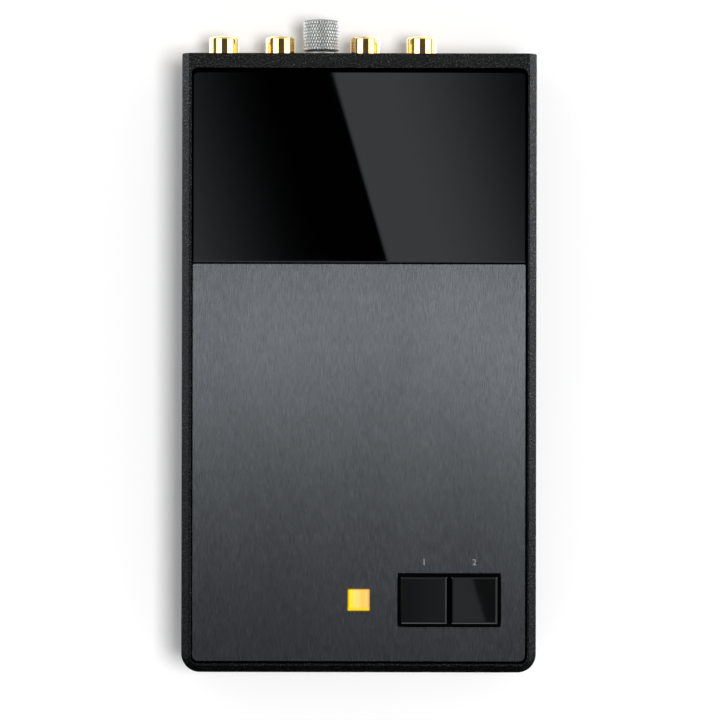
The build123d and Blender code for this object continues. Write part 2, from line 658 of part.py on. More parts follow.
def button_bezel():
    """Frame with one window for each button, held from below by its flange."""
    top = PLATE_TOP - BEZEL_SET_BACK
    bottom = CEILING - BEZEL_FLANGE_THICKNESS
    frame = centred_block(BEZEL_X, BUTTON_Y, BEZEL_WIDTH, BEZEL_LENGTH, (bottom, top))
    frame += centred_block(
        BEZEL_X,
        BUTTON_Y,
        BEZEL_OPENING_WIDTH + 2 * BEZEL_FLANGE_WIDTH,
        BEZEL_OPENING_LENGTH + 2 * BEZEL_FLANGE_WIDTH,
        (bottom, CEILING),
    )
    for x in BUTTONS_X:
        frame -= centred_block(
            x, BUTTON_Y, WINDOW_WIDTH, WINDOW_LENGTH, (bottom - BEZEL_FLANGE_THICKNESS, SHELL_TOP)
        )
    return frame


def button_cap(x):
    """Hollow square cap with a socket for the plunger."""
    z_range = (BUTTON_BOTTOM_Z, BUTTON_TOP_Z)
    hollow_top = BUTTON_TOP_Z - BUTTON_TOP
    hollow_range = (BUTTON_BOTTOM_Z - BUTTON_WALL, hollow_top)
    cap = centred_block(x, BUTTON_Y, BUTTON_WIDTH, BUTTON_LENGTH, z_range)
    cap = chamfer(cap.edges().group_by(Axis.Z)[-1], BUTTON_EDGE_CHAMFER)
    cap -= centred_block(
        x, BUTTON_Y, BUTTON_WIDTH - 2 * BUTTON_WALL, BUTTON_LENGTH - 2 * BUTTON_WALL, hollow_range
    )
    socket_width = PLUNGER_WIDTH + 2 * SEAT_CLEARANCE
    socket = centred_block(
        x,
        BUTTON_Y,
        socket_width + 2 * SOCKET_WALL,
        socket_width + 2 * SOCKET_WALL,
        (BUTTON_BOTTOM_Z, BUTTON_TOP_Z - BUTTON_TOP / 2),
    )
    cap += socket
    return cap - centred_block(x, BUTTON_Y, socket_width, socket_width, hollow_range)


def switch_plunger(x):
    """Plunger with a shoulder that the switch body traps."""
    stem_range = (PLUNGER_SHOULDER_BOTTOM, BUTTON_TOP_Z - BUTTON_TOP)
    stem = centred_block(x, BUTTON_Y, PLUNGER_WIDTH, PLUNGER_WIDTH, stem_range)
    shoulder_range = (PLUNGER_SHOULDER_BOTTOM, PLUNGER_SHOULDER_TOP)
    width = PLUNGER_SHOULDER_WIDTH
    return stem + centred_block(x, BUTTON_Y, width, width, shoulder_range)


def switch_body(x):
    """Switch housing, open at the bottom, with a square guide for the plunger."""
    body = centred_block(x, BUTTON_Y, SWITCH_WIDTH, SWITCH_WIDTH, (SWITCH_BASE_TOP, SWITCH_TOP))
    body = chamfer(body.edges().group_by(Axis.Z)[-1], SWITCH_WALL / 4)
    hollow = SWITCH_WIDTH - 2 * SWITCH_WALL
    hollow_range = (BOARD_TOP, SWITCH_TOP - SWITCH_WALL)
    body -= centred_block(x, BUTTON_Y, hollow, hollow, hollow_range)
    guide = PLUNGER_WIDTH + 2 * LOOSE_CLEARANCE
    return body - centred_block(x, BUTTON_Y, guide, guide, (BOARD_TOP, SWITCH_TOP + SWITCH_WALL))


def switch_spring(x):
    """Return spring between the switch base and the plunger's shoulder."""
    low = SWITCH_BASE_TOP + SPRING_WIRE_RADIUS + SEAT_CLEARANCE
    high = PLUNGER_SHOULDER_BOTTOM - SPRING_WIRE_RADIUS - SEAT_CLEARANCE
    height = high - low
    path = Helix(height / SPRING_TURNS, height, SPRING_RADIUS)
    section = Plane(path @ 0, z_dir=path % 0) * Circle(SPRING_WIRE_RADIUS)
    return Pos(x, BUTTON_Y, low) * sweep(section, path, is_frenet=True)


def switch_bases():
    """Base plates that close the switches from below."""
    z_range = (BOARD_TOP, SWITCH_BASE_TOP)
    return group(centred_block(x, BUTTON_Y, SWITCH_WIDTH, SWITCH_WIDTH, z_range) for x in BUTTONS_X)


def indicator_lens():
    """Light pipe: square window flush with the plate, a flange under the roof, a tapered stem."""
    flange_bottom = CEILING - LENS_FLANGE_THICKNESS
    taper_bottom = flange_bottom - LENS_TAPER_LENGTH
    stem_bottom = BOARD_TOP + LED_HEIGHT + LED_DOME_RADIUS + LED_DOME_GAP
    head = rounded_pillar(
        0, BUTTON_Y, LENS_WIDTH, LENS_WIDTH, LENS_CORNER_RADIUS, (flange_bottom, PLATE_TOP)
    )
    flange = centred_block(0, BUTTON_Y, LENS_FLANGE_WIDTH, LENS_FLANGE_WIDTH, (flange_bottom, CEILING))
    lower = Plane((0, BUTTON_Y, taper_bottom)) * Rectangle(LENS_STEM_WIDTH, LENS_STEM_WIDTH)
    upper = Plane((0, BUTTON_Y, flange_bottom)) * Rectangle(LENS_WIDTH, LENS_WIDTH)
    taper = loft([lower, upper])
    stem = centred_block(0, BUTTON_Y, LENS_STEM_WIDTH, LENS_STEM_WIDTH, (stem_bottom, taper_bottom))
    return head + flange + taper + stem


def indicator_led():
    """Square lamp with a small dome under the light pipe."""
    top = BOARD_TOP + LED_HEIGHT
    base = centred_block(0, BUTTON_Y, LED_WIDTH, LED_WIDTH, (BOARD_TOP, top))
    dome = Pos(0, BUTTON_Y, top) * Sphere(LED_DOME_RADIUS)
    return base + dome


# ---------------------------------------------------------------------------------------------
# Jacks, ground terminal and power inlet
# ---------------------------------------------------------------------------------------------


def jack_shell(x):
    """Barrel of one jack: a threaded tail, then a plain tube with a rounded mouth."""
    y_range = (BARREL_SEAT_Y, BARREL_MOUTH_Y)
    barrel = rod_y(BARREL_RADIUS, x, JACK_Z, y_range)
    barrel = fillet(barrel.edges().group_by(Axis.Y)[-1], BARREL_MOUTH_ROUND)
    barrel += rod_y(BARREL_THREAD_RADIUS, x, JACK_Z, (BARREL_SEAT_Y, BARREL_SHOULDER_Y))
    barrel -= rod_y(BARREL_BORE_RADIUS, x, JACK_Z, y_range)
    mouth_edges = barrel.edges().filter_by(GeomType.CIRCLE).group_by(Axis.Y)[-1]
    bore_edge = mouth_edges.sort_by(SortBy.RADIUS)[0]
    return chamfer(bore_edge, BARREL_BORE_ROUND)


def jack_contact(x):
    """Centre contact: a sleeve that is open at the mouth and closed at its tail."""
    contact = rod_y(CONTACT_RADIUS, x, JACK_Z, (CONTACT_END_Y, CONTACT_FRONT_Y))
    bore_end_y = CONTACT_FRONT_Y - CONTACT_BORE_DEPTH
    return contact - rod_y(CONTACT_BORE_RADIUS, x, JACK_Z, (bore_end_y, BARREL_MOUTH_Y))


def jack_insulators():
    """Insulating rings between the barrels and the centre contacts."""
    rings = []
    for x in INPUT_JACKS_X + OUTPUT_JACKS_X:
        ring = rod_y(BARREL_BORE_RADIUS - SEAT_CLEARANCE, x, JACK_Z, (BARREL_SEAT_Y, CONTACT_FRONT_Y))
        ring -= rod_y(CONTACT_RADIUS + SEAT_CLEARANCE, x, JACK_Z, (BARREL_SEAT_Y, CONTACT_FRONT_Y))
        rings.append(ring)
    return group(rings)


def jack_nuts():
    """Hexagonal nuts that clamp the barrels to the rear panel."""
    y_range = (PANEL_OUTER_Y, JACK_NUT_END_Y)
    nuts = []
    for x in INPUT_JACKS_X + OUTPUT_JACKS_X:
        nut = hexagon_y(JACK_NUT_ACROSS_FLATS, x, JACK_Z, y_range)
        nuts.append(nut - rod_y(BARREL_THREAD_RADIUS + SEAT_CLEARANCE, x, JACK_Z, y_range))
    return group(nuts)


def jack_block(jacks_x):
    """Moulded block that carries a pair of jacks on the board."""
    x_range = (jacks_x[0] - JACK_BLOCK_MARGIN, jacks_x[-1] + JACK_BLOCK_MARGIN)
    y_range = (JACK_BLOCK_FRONT_Y - JACK_BLOCK_LENGTH, JACK_BLOCK_FRONT_Y)
    body = block(x_range, y_range, (BOARD_TOP, JACK_BLOCK_TOP))
    body = fillet(body.edges().group_by(Axis.Z)[-1], JACK_BLOCK_EDGE_ROUND)
    tail_end = CONTACT_END_Y - SEAT_CLEARANCE
    for x in jacks_x:
        body -= rod_y(BARREL_THREAD_RADIUS + SEAT_CLEARANCE, x, JACK_Z, (BARREL_SEAT_Y, PANEL_INNER_Y))
        body -= rod_y(CONTACT_RADIUS + SEAT_CLEARANCE, x, JACK_Z, (tail_end, PANEL_INNER_Y))
    return body


def ground_stud():
    """Threaded stud that runs through the rear panel."""
    y_range = (LOCK_NUT_END_Y - GROUND_STUD_TAIL, THUMB_NUT_END_Y - GROUND_STUD_SET_BACK)
    stud = rod_y(GROUND_STUD_RADIUS, GROUND_X, JACK_Z, y_range)
    return chamfer(stud.edges().filter_by(GeomType.CIRCLE), GROUND_STUD_RADIUS / 5)


def ground_ring(radius, clearance, y_range):
    """Round collar on the stud."""
    ring = rod_y(radius, GROUND_X, JACK_Z, y_range)
    return ring - rod_y(GROUND_STUD_RADIUS + clearance, GROUND_X, JACK_Z, y_range)


def ground_thumb_nut():
    """Thumb nut with chamfered ends."""
    y_range = (GROUND_WASHER_END_Y, THUMB_NUT_END_Y)
    nut = rod_y(THUMB_NUT_RADIUS, GROUND_X, JACK_Z, y_range)
    nut = chamfer(nut.edges().filter_by(GeomType.CIRCLE), THUMB_NUT_CHAMFER)
    return nut - rod_y(GROUND_STUD_RADIUS + SEAT_CLEARANCE, GROUND_X, JACK_Z, y_range)


def ground_lock_nut():
    """Hexagonal nut that holds the stud and the lug inside the case."""
    y_range = (LOCK_NUT_END_Y, GROUND_LUG_END_Y)
    nut = hexagon_y(LOCK_NUT_ACROSS_FLATS, GROUND_X, JACK_Z, y_range)
    return nut - rod_y(GROUND_STUD_RADIUS + SEAT_CLEARANCE, GROUND_X, JACK_Z, y_range)


def ground_lug():
    """Ring lug with a tail that turns forward into a crimp barrel."""
    y_range = (GROUND_LUG_END_Y, PANEL_INNER_Y)
    half_tail = GROUND_LUG_TAIL_WIDTH / 2
    lug = rod_y(GROUND_LUG_RADIUS, GROUND_X, JACK_Z, y_range)
    lug += block((GROUND_X - half_tail, GROUND_X + half_tail), y_range, (GROUND_WIRE_Z, JACK_Z))
    barrel_range = (GROUND_LUG_END_Y - GROUND_LUG_BARREL_LENGTH, PANEL_INNER_Y)
    lug += rod_y(GROUND_LUG_BARREL_RADIUS, GROUND_X, GROUND_WIRE_Z, barrel_range)
    wire_range = (barrel_range[0], GROUND_LUG_END_Y)
    lug -= rod_y(GROUND_WIRE_RADIUS + SEAT_CLEARANCE, GROUND_X, GROUND_WIRE_Z, wire_range)
    return lug - rod_y(GROUND_STUD_RADIUS + LOOSE_CLEARANCE, GROUND_X, JACK_Z, y_range)


def ground_wire():
    """Short wire from the lug's barrel down to the board."""
    turn_y = GROUND_LUG_END_Y - GROUND_LUG_BARREL_LENGTH - GROUND_WIRE_RUN
    points = [
        (GROUND_X, GROUND_LUG_END_Y, GROUND_WIRE_Z),
        (GROUND_X, turn_y, GROUND_WIRE_Z),
        (GROUND_X, turn_y, BOARD_TOP),
    ]
    path = FilletPolyline(*points, radius=GROUND_WIRE_BEND)
    section = Plane(path @ 0, z_dir=path % 0) * Circle(GROUND_WIRE_RADIUS)
    return sweep(section, path)


def power_jack_housing():
    """Moulded inlet with a round nose that fills its hole in the panel."""
    x_range = (POWER_X - POWER_HOUSING_WIDTH / 2, POWER_X + POWER_HOUSING_WIDTH / 2)
    y_range = (POWER_FRONT_Y - POWER_HOUSING_LENGTH, POWER_FRONT_Y)
    housing = block(x_range, y_range, (BOARD_TOP, BOARD_TOP + POWER_HOUSING_HEIGHT))
    housing += rod_y(POWER_NOSE_RADIUS, POWER_X, POWER_Z, (POWER_FRONT_Y - PANEL_THICKNESS, PANEL_OUTER_Y))
    housing -= rod_y(POWER_BORE_RADIUS, POWER_X, POWER_Z, (POWER_BORE_END_Y, PANEL_OUTER_Y))
    tail_hole_radius = POWER_PIN_TAIL_RADIUS + SEAT_CLEARANCE
    housing -= rod_y(tail_hole_radius, POWER_X, POWER_Z, (POWER_PIN_END_Y, PANEL_OUTER_Y))
    return housing - power_contact_block(SEAT_CLEARANCE)


def power_jack_pin():
    """Centre pin of the inlet, with a thinner tail in the housing."""
    pin = rod_y(POWER_PIN_RADIUS, POWER_X, POWER_Z, (POWER_BORE_END_Y, PANEL_OUTER_Y - POWER_PIN_SET_BACK))
    pin = fillet(pin.edges().group_by(Axis.Y)[-1], POWER_PIN_RADIUS / 2)
    return pin + rod_y(POWER_PIN_TAIL_RADIUS, POWER_X, POWER_Z, (POWER_PIN_END_Y, POWER_BORE_END_Y))


def power_contact_block(grow):
    """Strip contact at the floor of the inlet's bore, or the slot that holds it."""
    half_width = POWER_CONTACT_WIDTH / 2 + grow
    middle_y = POWER_BORE_END_Y + POWER_CONTACT_LENGTH / 2
    half_length = POWER_CONTACT_LENGTH / 2 + grow
    top = POWER_Z - POWER_BORE_RADIUS + POWER_CONTACT_THICKNESS / 2
    return block(
        (POWER_X - half_width, POWER_X + half_width),
        (middle_y - half_length, middle_y + half_length),
        (top - POWER_CONTACT_THICKNESS - grow, top + grow),
    )


# ---------------------------------------------------------------------------------------------
# Board and what it carries
# ---------------------------------------------------------------------------------------------


def main_board():
    """Circuit board: narrow between the cover bosses, wide behind them, clear of the panel bosses."""
    z_range = (BOARD_BOTTOM, BOARD_TOP)
    wide_x = INNER_X - BOARD_WIDE_MARGIN
    notch_x = INNER_X - PANEL_BOSS_WIDTH - BOARD_NOTCH_GAP
    notch_y = PANEL_INNER_Y - PANEL_BOSS_LENGTH - BOARD_NOTCH_GAP
    wide_y = BOARD_REAR_Y - BOARD_WIDE_LENGTH
    outline = plate_outline(2 * BOARD_X, (BOARD_FRONT_Y, wide_y), BOARD_CORNER_RADIUS, 0)
    outline += plate_outline(2 * wide_x, (wide_y, notch_y), 0, 0)
    outline += plate_outline(2 * notch_x, (notch_y, BOARD_REAR_Y), 0, 0)
    board = Pos(0, 0, BOARD_BOTTOM) * extrude(outline, BOARD_THICKNESS)
    for x, y in standoff_places():
        board -= rod_z(BOARD_SCREW_RADIUS + LOOSE_CLEARANCE, x, y, z_range)
    return board


def board_standoffs():
    """Threaded standoffs pressed into the cover."""
    standoffs = []
    outline = RegularPolygon(STANDOFF_ACROSS_FLATS / 2, 6, major_radius=False)
    for x, y in standoff_places():
        standoff = Pos(x, y, COVER_TOP) * extrude(outline, STANDOFF_HEIGHT)
        standoff += rod_z(STANDOFF_SHANK_RADIUS, x, y, (SHELL_BOTTOM, COVER_TOP))
        hole_range = (BOARD_TOP - BOARD_SCREW_LENGTH - LOOSE_CLEARANCE, BOARD_BOTTOM)
        standoffs.append(standoff - rod_z(BOARD_SCREW_RADIUS + SEAT_CLEARANCE, x, y, hole_range))
    return group(standoffs)


def board_screws():
    """Screws that hold the board on its standoffs."""
    screw = pan_screw(
        BOARD_SCREW_RADIUS, BOARD_SCREW_HEAD_RADIUS, BOARD_SCREW_HEAD_HEIGHT, BOARD_SCREW_LENGTH
    )
    return group(Pos(x, y, BOARD_TOP) * Rot(180, 0, 0) * screw for x, y in standoff_places())


def slider_places(centre_x):
    """Middle X of each slider of one selector."""
    return [centre_x + place for place in row_places(SELECTOR_COUNT, SELECTOR_PITCH)]


def selector_housing(centre_x):
    """Selector block under the board with one slot for each slider."""
    housing = centred_block(
        centre_x, SELECTOR_Y, SELECTOR_LENGTH, SELECTOR_WIDTH, (SELECTOR_BOTTOM, BOARD_BOTTOM)
    )
    slot_range = (SELECTOR_BOTTOM - SLIDER_PROUD, SELECTOR_BOTTOM + SLIDER_SEAT_DEPTH + LOOSE_CLEARANCE)
    for x in slider_places(centre_x):
        slot_width = SLIDER_WIDTH + 2 * LOOSE_CLEARANCE
        housing -= centred_block(x, SELECTOR_Y, slot_width, SLOT_LENGTH, slot_range)
    return housing


def selector_slider(x):
    """Slider at the front end of its slot."""
    z_range = (SELECTOR_BOTTOM - SLIDER_PROUD, SELECTOR_BOTTOM + SLIDER_SEAT_DEPTH)
    return centred_block(x, SLIDER_REST_Y, SLIDER_WIDTH, SLIDER_LENGTH, z_range)


def supply_capacitors():
    """Upright cans of the power supply."""
    y = REAR_Y - SUPPLY_CAPACITORS_FROM_REAR
    cans = []
    for x in row_places(SUPPLY_CAPACITOR_COUNT, SUPPLY_CAPACITOR_PITCH):
        can = rod_z(SUPPLY_CAPACITOR_RADIUS, x, y, (BOARD_TOP, BOARD_TOP + SUPPLY_CAPACITOR_HEIGHT))
        cans.append(fillet(can.edges().group_by(Axis.Z)[-1], SUPPLY_CAPACITOR_RADIUS / 8))
    return group(cans)


def film_capacitors():
    """Row of box capacitors of the equaliser."""
    y = REAR_Y - FILM_CAPACITORS_FROM_REAR
    z_range = (BOARD_TOP, BOARD_TOP + FILM_CAPACITOR_HEIGHT)
    boxes = []
    for x in row_places(FILM_CAPACITOR_COUNT, FILM_CAPACITOR_PITCH):
        case = centred_block(x, y, FILM_CAPACITOR_WIDTH, FILM_CAPACITOR_LENGTH, z_range)
        boxes.append(fillet(case.edges().group_by(Axis.Z)[-1], FILM_CAPACITOR_WIDTH / 10))
    return group(boxes)


def op_amps():
    """Row of amplifier chips, each with four legs along either side."""
    y = REAR_Y - OP_AMPS_FROM_REAR
    chips = []
    for x in row_places(OP_AMP_COUNT, OP_AMP_PITCH):
        bottom = BOARD_TOP + LEG_HEIGHT
        chip = centred_block(x, y, OP_AMP_WIDTH, OP_AMP_LENGTH, (bottom, bottom + OP_AMP_HEIGHT))
        for place in row_places(4, LEG_PITCH):
            for side in (-1, 1):
                leg_y = y + side * (OP_AMP_LENGTH + LEG_WIDTH) / 2
                leg_range = (BOARD_TOP, bottom + OP_AMP_HEIGHT / 2)
                chip += centred_block(x + place, leg_y, LEG_WIDTH, LEG_WIDTH, leg_range)
        chips.append(chip)
    return group(chips)


def voltage_regulators():
    """Regulators with upright metal tabs."""
    y = REAR_Y - REGULATORS_FROM_REAR
    bottom = BOARD_TOP + 2 * LEG_HEIGHT
    top = bottom + REGULATOR_HEIGHT
    tab_y = y - REGULATOR_DEPTH / 2 + REGULATOR_TAB_THICKNESS / 2
    regulators = []
    for x in row_places(REGULATOR_COUNT, REGULATOR_PITCH):
        regulator = centred_block(x, y, REGULATOR_WIDTH, REGULATOR_DEPTH, (bottom, top))
        tab_range = (bottom, top + REGULATOR_TAB_HEIGHT)
        regulator += centred_block(x, tab_y, REGULATOR_WIDTH, REGULATOR_TAB_THICKNESS, tab_range)
        for place in row_places(3, LEG_PITCH):
            regulator += centred_block(x + place, y, LEG_WIDTH, LEG_WIDTH, (BOARD_TOP, bottom))
        regulators.append(regulator)
    return group(regulators)


# ---------------------------------------------------------------------------------------------
# Nodes
# ---------------------------------------------------------------------------------------------

save("case_shell", case_shell())
save("bottom_cover", bottom_cover())
save("cover_screws", cover_screws())
save("foot_pads", foot_pads())
save("glass_panel", glass_panel())
save("top_plate", top_plate())
save("panel_adhesive", panel_adhesive())
save("rear_panel", rear_panel())
save("rear_panel_screws", rear_panel_screws())

save("button_bezel", button_bezel())
save("switch_bases", switch_bases())
for name, button_x in zip(("mono", "filter"), BUTTONS_X):
    save(f"{name}_button_cap", button_cap(button_x))
    save(f"{name}_switch_plunger", switch_plunger(button_x))
    save(f"{name}_switch_body", switch_body(button_x))
    save(f"{name}_switch_spring", switch_spring(button_x))
save("indicator_lens", indicator_lens())
save("indicator_led", indicator_led())

for name, jacks_x in (("input", INPUT_JACKS_X), ("output", OUTPUT_JACKS_X)):
    save(f"{name}_jack_block", jack_block(jacks_x))
    for channel, jack_x in zip(("left", "right"), jacks_x):
        save(f"{name}_{channel}_jack_shell", jack_shell(jack_x))
        save(f"{name}_{channel}_jack_contact", jack_contact(jack_x))
save("jack_insulators", jack_insulators())
save("jack_nuts", jack_nuts())

save("ground_stud", ground_stud())
bushing_range = (PANEL_OUTER_Y, GROUND_BUSHING_END_Y)
save("ground_bushing", ground_ring(GROUND_BUSHING_RADIUS, SEAT_CLEARANCE, bushing_range))
washer_range = (GROUND_BUSHING_END_Y, GROUND_WASHER_END_Y)
save("ground_washer", ground_ring(GROUND_WASHER_RADIUS, SEAT_CLEARANCE, washer_range))
save("ground_thumb_nut", ground_thumb_nut())
save("ground_lock_nut", ground_lock_nut())
save("ground_lug", ground_lug())
save("ground_wire", ground_wire())

save("power_jack_housing", power_jack_housing())
save("power_jack_pin", power_jack_pin())
save("power_jack_contact", power_contact_block(0))

save("main_board", main_board())
save("board_standoffs", board_standoffs())
save("board_screws", board_screws())
for name, selector_x in selector_centres().items():
    save(f"{name}_selector_housing", selector_housing(selector_x))
    for number, slider_x in enumerate(slider_places(selector_x), start=1):
        save(f"{name}_selector_slider_{number}", selector_slider(slider_x))
save("supply_capacitors", supply_capacitors())
save("film_capacitors", film_capacitors())
save("op_amps", op_amps())
save("voltage_regulators", voltage_regulators())
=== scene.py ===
import json
import math

import bmesh
import bpy
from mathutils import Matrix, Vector


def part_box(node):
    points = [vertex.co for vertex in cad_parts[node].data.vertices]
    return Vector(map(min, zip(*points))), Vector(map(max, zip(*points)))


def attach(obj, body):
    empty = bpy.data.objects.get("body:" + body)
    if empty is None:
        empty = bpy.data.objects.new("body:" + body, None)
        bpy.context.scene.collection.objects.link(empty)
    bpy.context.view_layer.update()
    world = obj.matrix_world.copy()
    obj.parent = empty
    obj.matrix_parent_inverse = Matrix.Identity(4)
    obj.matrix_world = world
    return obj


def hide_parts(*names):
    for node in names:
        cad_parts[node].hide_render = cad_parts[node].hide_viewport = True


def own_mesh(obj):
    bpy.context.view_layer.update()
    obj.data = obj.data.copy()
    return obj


# Phono preamp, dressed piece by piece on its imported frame. Metres, in the frame's own axes:
# +Z is up, the front faces -Y and the jacks face +Y.

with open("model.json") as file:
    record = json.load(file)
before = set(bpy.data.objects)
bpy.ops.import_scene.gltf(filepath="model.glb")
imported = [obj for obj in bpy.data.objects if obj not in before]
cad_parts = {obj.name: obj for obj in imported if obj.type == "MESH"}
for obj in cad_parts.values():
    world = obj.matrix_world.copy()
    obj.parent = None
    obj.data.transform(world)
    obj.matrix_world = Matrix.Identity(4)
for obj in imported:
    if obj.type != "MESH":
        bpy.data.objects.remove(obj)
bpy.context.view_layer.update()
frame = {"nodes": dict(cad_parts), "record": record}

NODES = frame["nodes"]
NODE_SLOTS = {part["node"]: part["material_slot"] for part in frame["record"]["subparts"]}
MM = 0.001
TURN = 2 * math.pi

CASE_LOW, CASE_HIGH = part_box("case_shell")
PLATE_LOW, PLATE_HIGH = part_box("top_plate")
GLASS_LOW, GLASS_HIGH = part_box("glass_panel")


def middle(node):
    """Centre of a node's box."""
    low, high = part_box(node)
    return (low + high) / 2


# ---- Node trees ----


def connect(tree, value, socket):
    """Link a signal to a socket, or set the socket's own value."""
    if isinstance(value, Signal):
        tree.links.new(value.socket, socket)
    elif socket.type == "RGBA":
        socket.default_value = (*value[:3], 1.0)
    else:
        socket.default_value = value


def maths(operation, swapped=False):
    """Method of a signal that adds one Math node for it and another value."""

    def method(self, other):
        return self.math(operation, *((other, self) if swapped else (self, other)))

    return method


class Signal:
    """A socket's output. Arithmetic on it adds Math nodes to its tree."""

    __add__ = __radd__ = maths("ADD")
    __sub__, __rsub__ = maths("SUBTRACT"), maths("SUBTRACT", swapped=True)
    __mul__ = __rmul__ = maths("MULTIPLY")
    __truediv__, __rtruediv__ = maths("DIVIDE"), maths("DIVIDE", swapped=True)
    __pow__, __rpow__ = maths("POWER"), maths("POWER", swapped=True)
    least, most = maths("MINIMUM"), maths("MAXIMUM")

    def __init__(self, tree, socket):
        self.tree = tree
        self.socket = socket

    def __neg__(self):
        return self * -1.0

    def math(self, operation, *values):
        node = self.tree.nodes.new("ShaderNodeMath")
        node.operation = operation
        for value, socket in zip(values, node.inputs):
            connect(self.tree, value, socket)
        return Signal(self.tree, node.outputs[0])

    def size(self):
        """Size without the sign."""
        return self.math("ABSOLUTE", self)

    def zigzag(self):
        """Triangle wave from 0 to 1 with a period of 1."""
        return self.math("PINGPONG", self, 0.5) * 2


class Nodes:
    """A node tree under construction."""

    def __init__(self, tree):
        self.tree = tree

    def add(self, kind, settings=None, sockets=None, output=0):
        """One node with its settings and its sockets' values or links."""
        node = self.tree.nodes.new(kind)
        for name, value in (settings or {}).items():
            if name == "stops":
                self.set_stops(node.color_ramp.elements, value)
            else:
                setattr(node, name, value)
        for name, value in (sockets or {}).items():
            connect(self.tree, value, node.inputs[name])
        return Signal(self.tree, node.outputs[output])

    @staticmethod
    def set_stops(elements, stops):
        while len(elements) < len(stops):
            elements.new(1.0)
        for element, (position, colour) in zip(elements, stops):
            element.position = position
            element.color = (*colour, 1.0)

    def parts(self, vector):
        """X, Y and Z of a vector."""
        node = self.add("ShaderNodeSeparateXYZ", sockets={0: vector}).socket.node
        return [Signal(self.tree, socket) for socket in node.outputs]

    def level(self, value, low, high, out_low=0.0, out_high=1.0):
        """Value from low to high, carried over to another range."""
        smooth = {"clamp": True, "interpolation_type": "SMOOTHSTEP"}
        sockets = {0: value, 1: low, 2: high, 3: out_low, 4: out_high}
        return self.add("ShaderNodeMapRange", smooth, sockets)

    def band(self, value, low, high, soft):
        """1 between low and high, with soft edges."""
        rise = self.level(value, low - soft, low + soft)
        return rise * self.level(value, high - soft, high + soft, 1.0, 0.0)

    def uneven(self, pattern, low, high):
        """A cloudy pattern's middle range, spread from low to high."""
        return self.level(pattern, 0.3, 0.7, low, high)

    def tint(self, factor, first, second):
        """Mix of two colours."""
        return self.add("ShaderNodeMix", {"data_type": "RGBA"}, {0: factor, 6: first, 7: second}, 2)

    def shade(self, factor, first, second):
        """Mix of two screen colours."""
        return self.tint(factor, colour(*first), colour(*second))

    def vector(self, operation, sockets):
        """Vector maths."""
        return self.add("ShaderNodeVectorMath", {"operation": operation}, sockets)

    def place(self, output="Object"):
        """X, Y and Z of the shaded point."""
        return self.parts(self.add("ShaderNodeTexCoord", output=output))

    def mapped(self, per_mm):
        """Object coordinates for a pattern that repeats so many times in a millimetre."""
        place = self.add("ShaderNodeTexCoord", output="Object")
        scale = [count / MM for count in per_mm]
        return self.add("ShaderNodeMapping", sockets={"Vector": place, "Scale": scale})

    def noise(self, per_mm, detail=2.0, roughness=0.5):
        """Cloudy pattern from 0 to 1. Counts for X, Y and Z, or one for all."""
        per_mm = per_mm if hasattr(per_mm, "__len__") else (per_mm,) * 3
        sockets = {"Vector": self.mapped(per_mm), "Scale": 1.0}
        sockets.update(Detail=detail, Roughness=roughness)
        return self.add("ShaderNodeTexNoise", sockets=sockets)


def colour(red, green, blue):
    """Screen colour, each part 0 to 255, as linear light."""
    parts = [value / 255 for value in (red, green, blue)]
    return tuple(v / 12.92 if v <= 0.04045 else ((v + 0.055) / 1.055) ** 2.4 for v in parts)


class Finish(Nodes):
    """Surface finish: one Principled shader and the patterns that feed it."""

    def __init__(self, name, **constants):
        self.material = bpy.data.materials.new(name)
        self.material.use_nodes = True
        super().__init__(self.material.node_tree)
        self.shader = self.tree.nodes["Principled BSDF"]
        for name, value in constants.items():
            self.feed(name.replace("_", " "), value)

    def feed(self, socket, value):
        connect(self.tree, value, self.shader.inputs[socket])

    def done(self, base, roughness, height, depth_mm, strength=0.5):
        """Feed colour, roughness and a relief so many millimetres deep; gives the material."""
        sockets = {"Height": height, "Distance": depth_mm * MM, "Strength": strength}
        self.feed("Base Color", base)
        self.feed("Roughness", roughness)
        self.feed("Normal", self.add("ShaderNodeBump", sockets=sockets))
        return self.material


# ---- Finishes ----


FLECK_GAIN = 27.0
BARREL_REACH = 4.6 * MM
LENS_HALF = 3.05 * MM
# Recess round the plate and glass, where the case coat gets painted shade: dead black, without
# gloss.
SHADED_RECESS = (
    (PLATE_LOW.x - 0.65 * MM, PLATE_LOW.y - 0.65 * MM, 0.0),
    (PLATE_HIGH.x + 0.65 * MM, GLASS_HIGH.y + 1.15 * MM, PLATE_HIGH.z - 0.2 * MM),
)


def powder_coat(name, dark, light, roughness, recess=None):
    """Textured matt coat: a rough dark ground with fine flecks that catch the light.

    recess is a low and a high corner. Between them the coat is dead black and without gloss:
    painted shade for the recess round the plate and glass.
    """
    finish = Finish(name, Specular_IOR_Level=0.12)
    cloud = finish.noise(0.5, 3.0)
    grain = finish.noise(2.4, 1.0)
    fine = finish.noise(4.2, 1.0)
    speck = finish.level(grain * 0.7 + fine * 0.3, 0.53, 0.66)
    ground = finish.shade(finish.level(cloud * 0.4 + grain * 0.6, 0.36, 0.64), dark, light)
    shade = finish.tint(speck, ground, [FLECK_GAIN * part for part in colour(*light)])
    shine = (speck * 4.0).least(0.98)
    # Painted shade: inside the recess the colour goes black and the coat fully metallic, so it
    # shows neither light nor reflection.
    if recess:
        inside = 1.0
        for along, low, high in zip(finish.place(), *recess):
            inside = finish.band(along, low, high, 0.05 * MM) * inside
        shade = finish.tint(inside, shade, (0.0, 0.0, 0.0))
        shine = shine.most(inside)
    finish.feed("Metallic", shine)
    dull = finish.uneven(grain, roughness - 0.08, roughness + 0.10)
    return finish.done(shade, dull, grain + fine * 0.5, 0.30, 0.9)


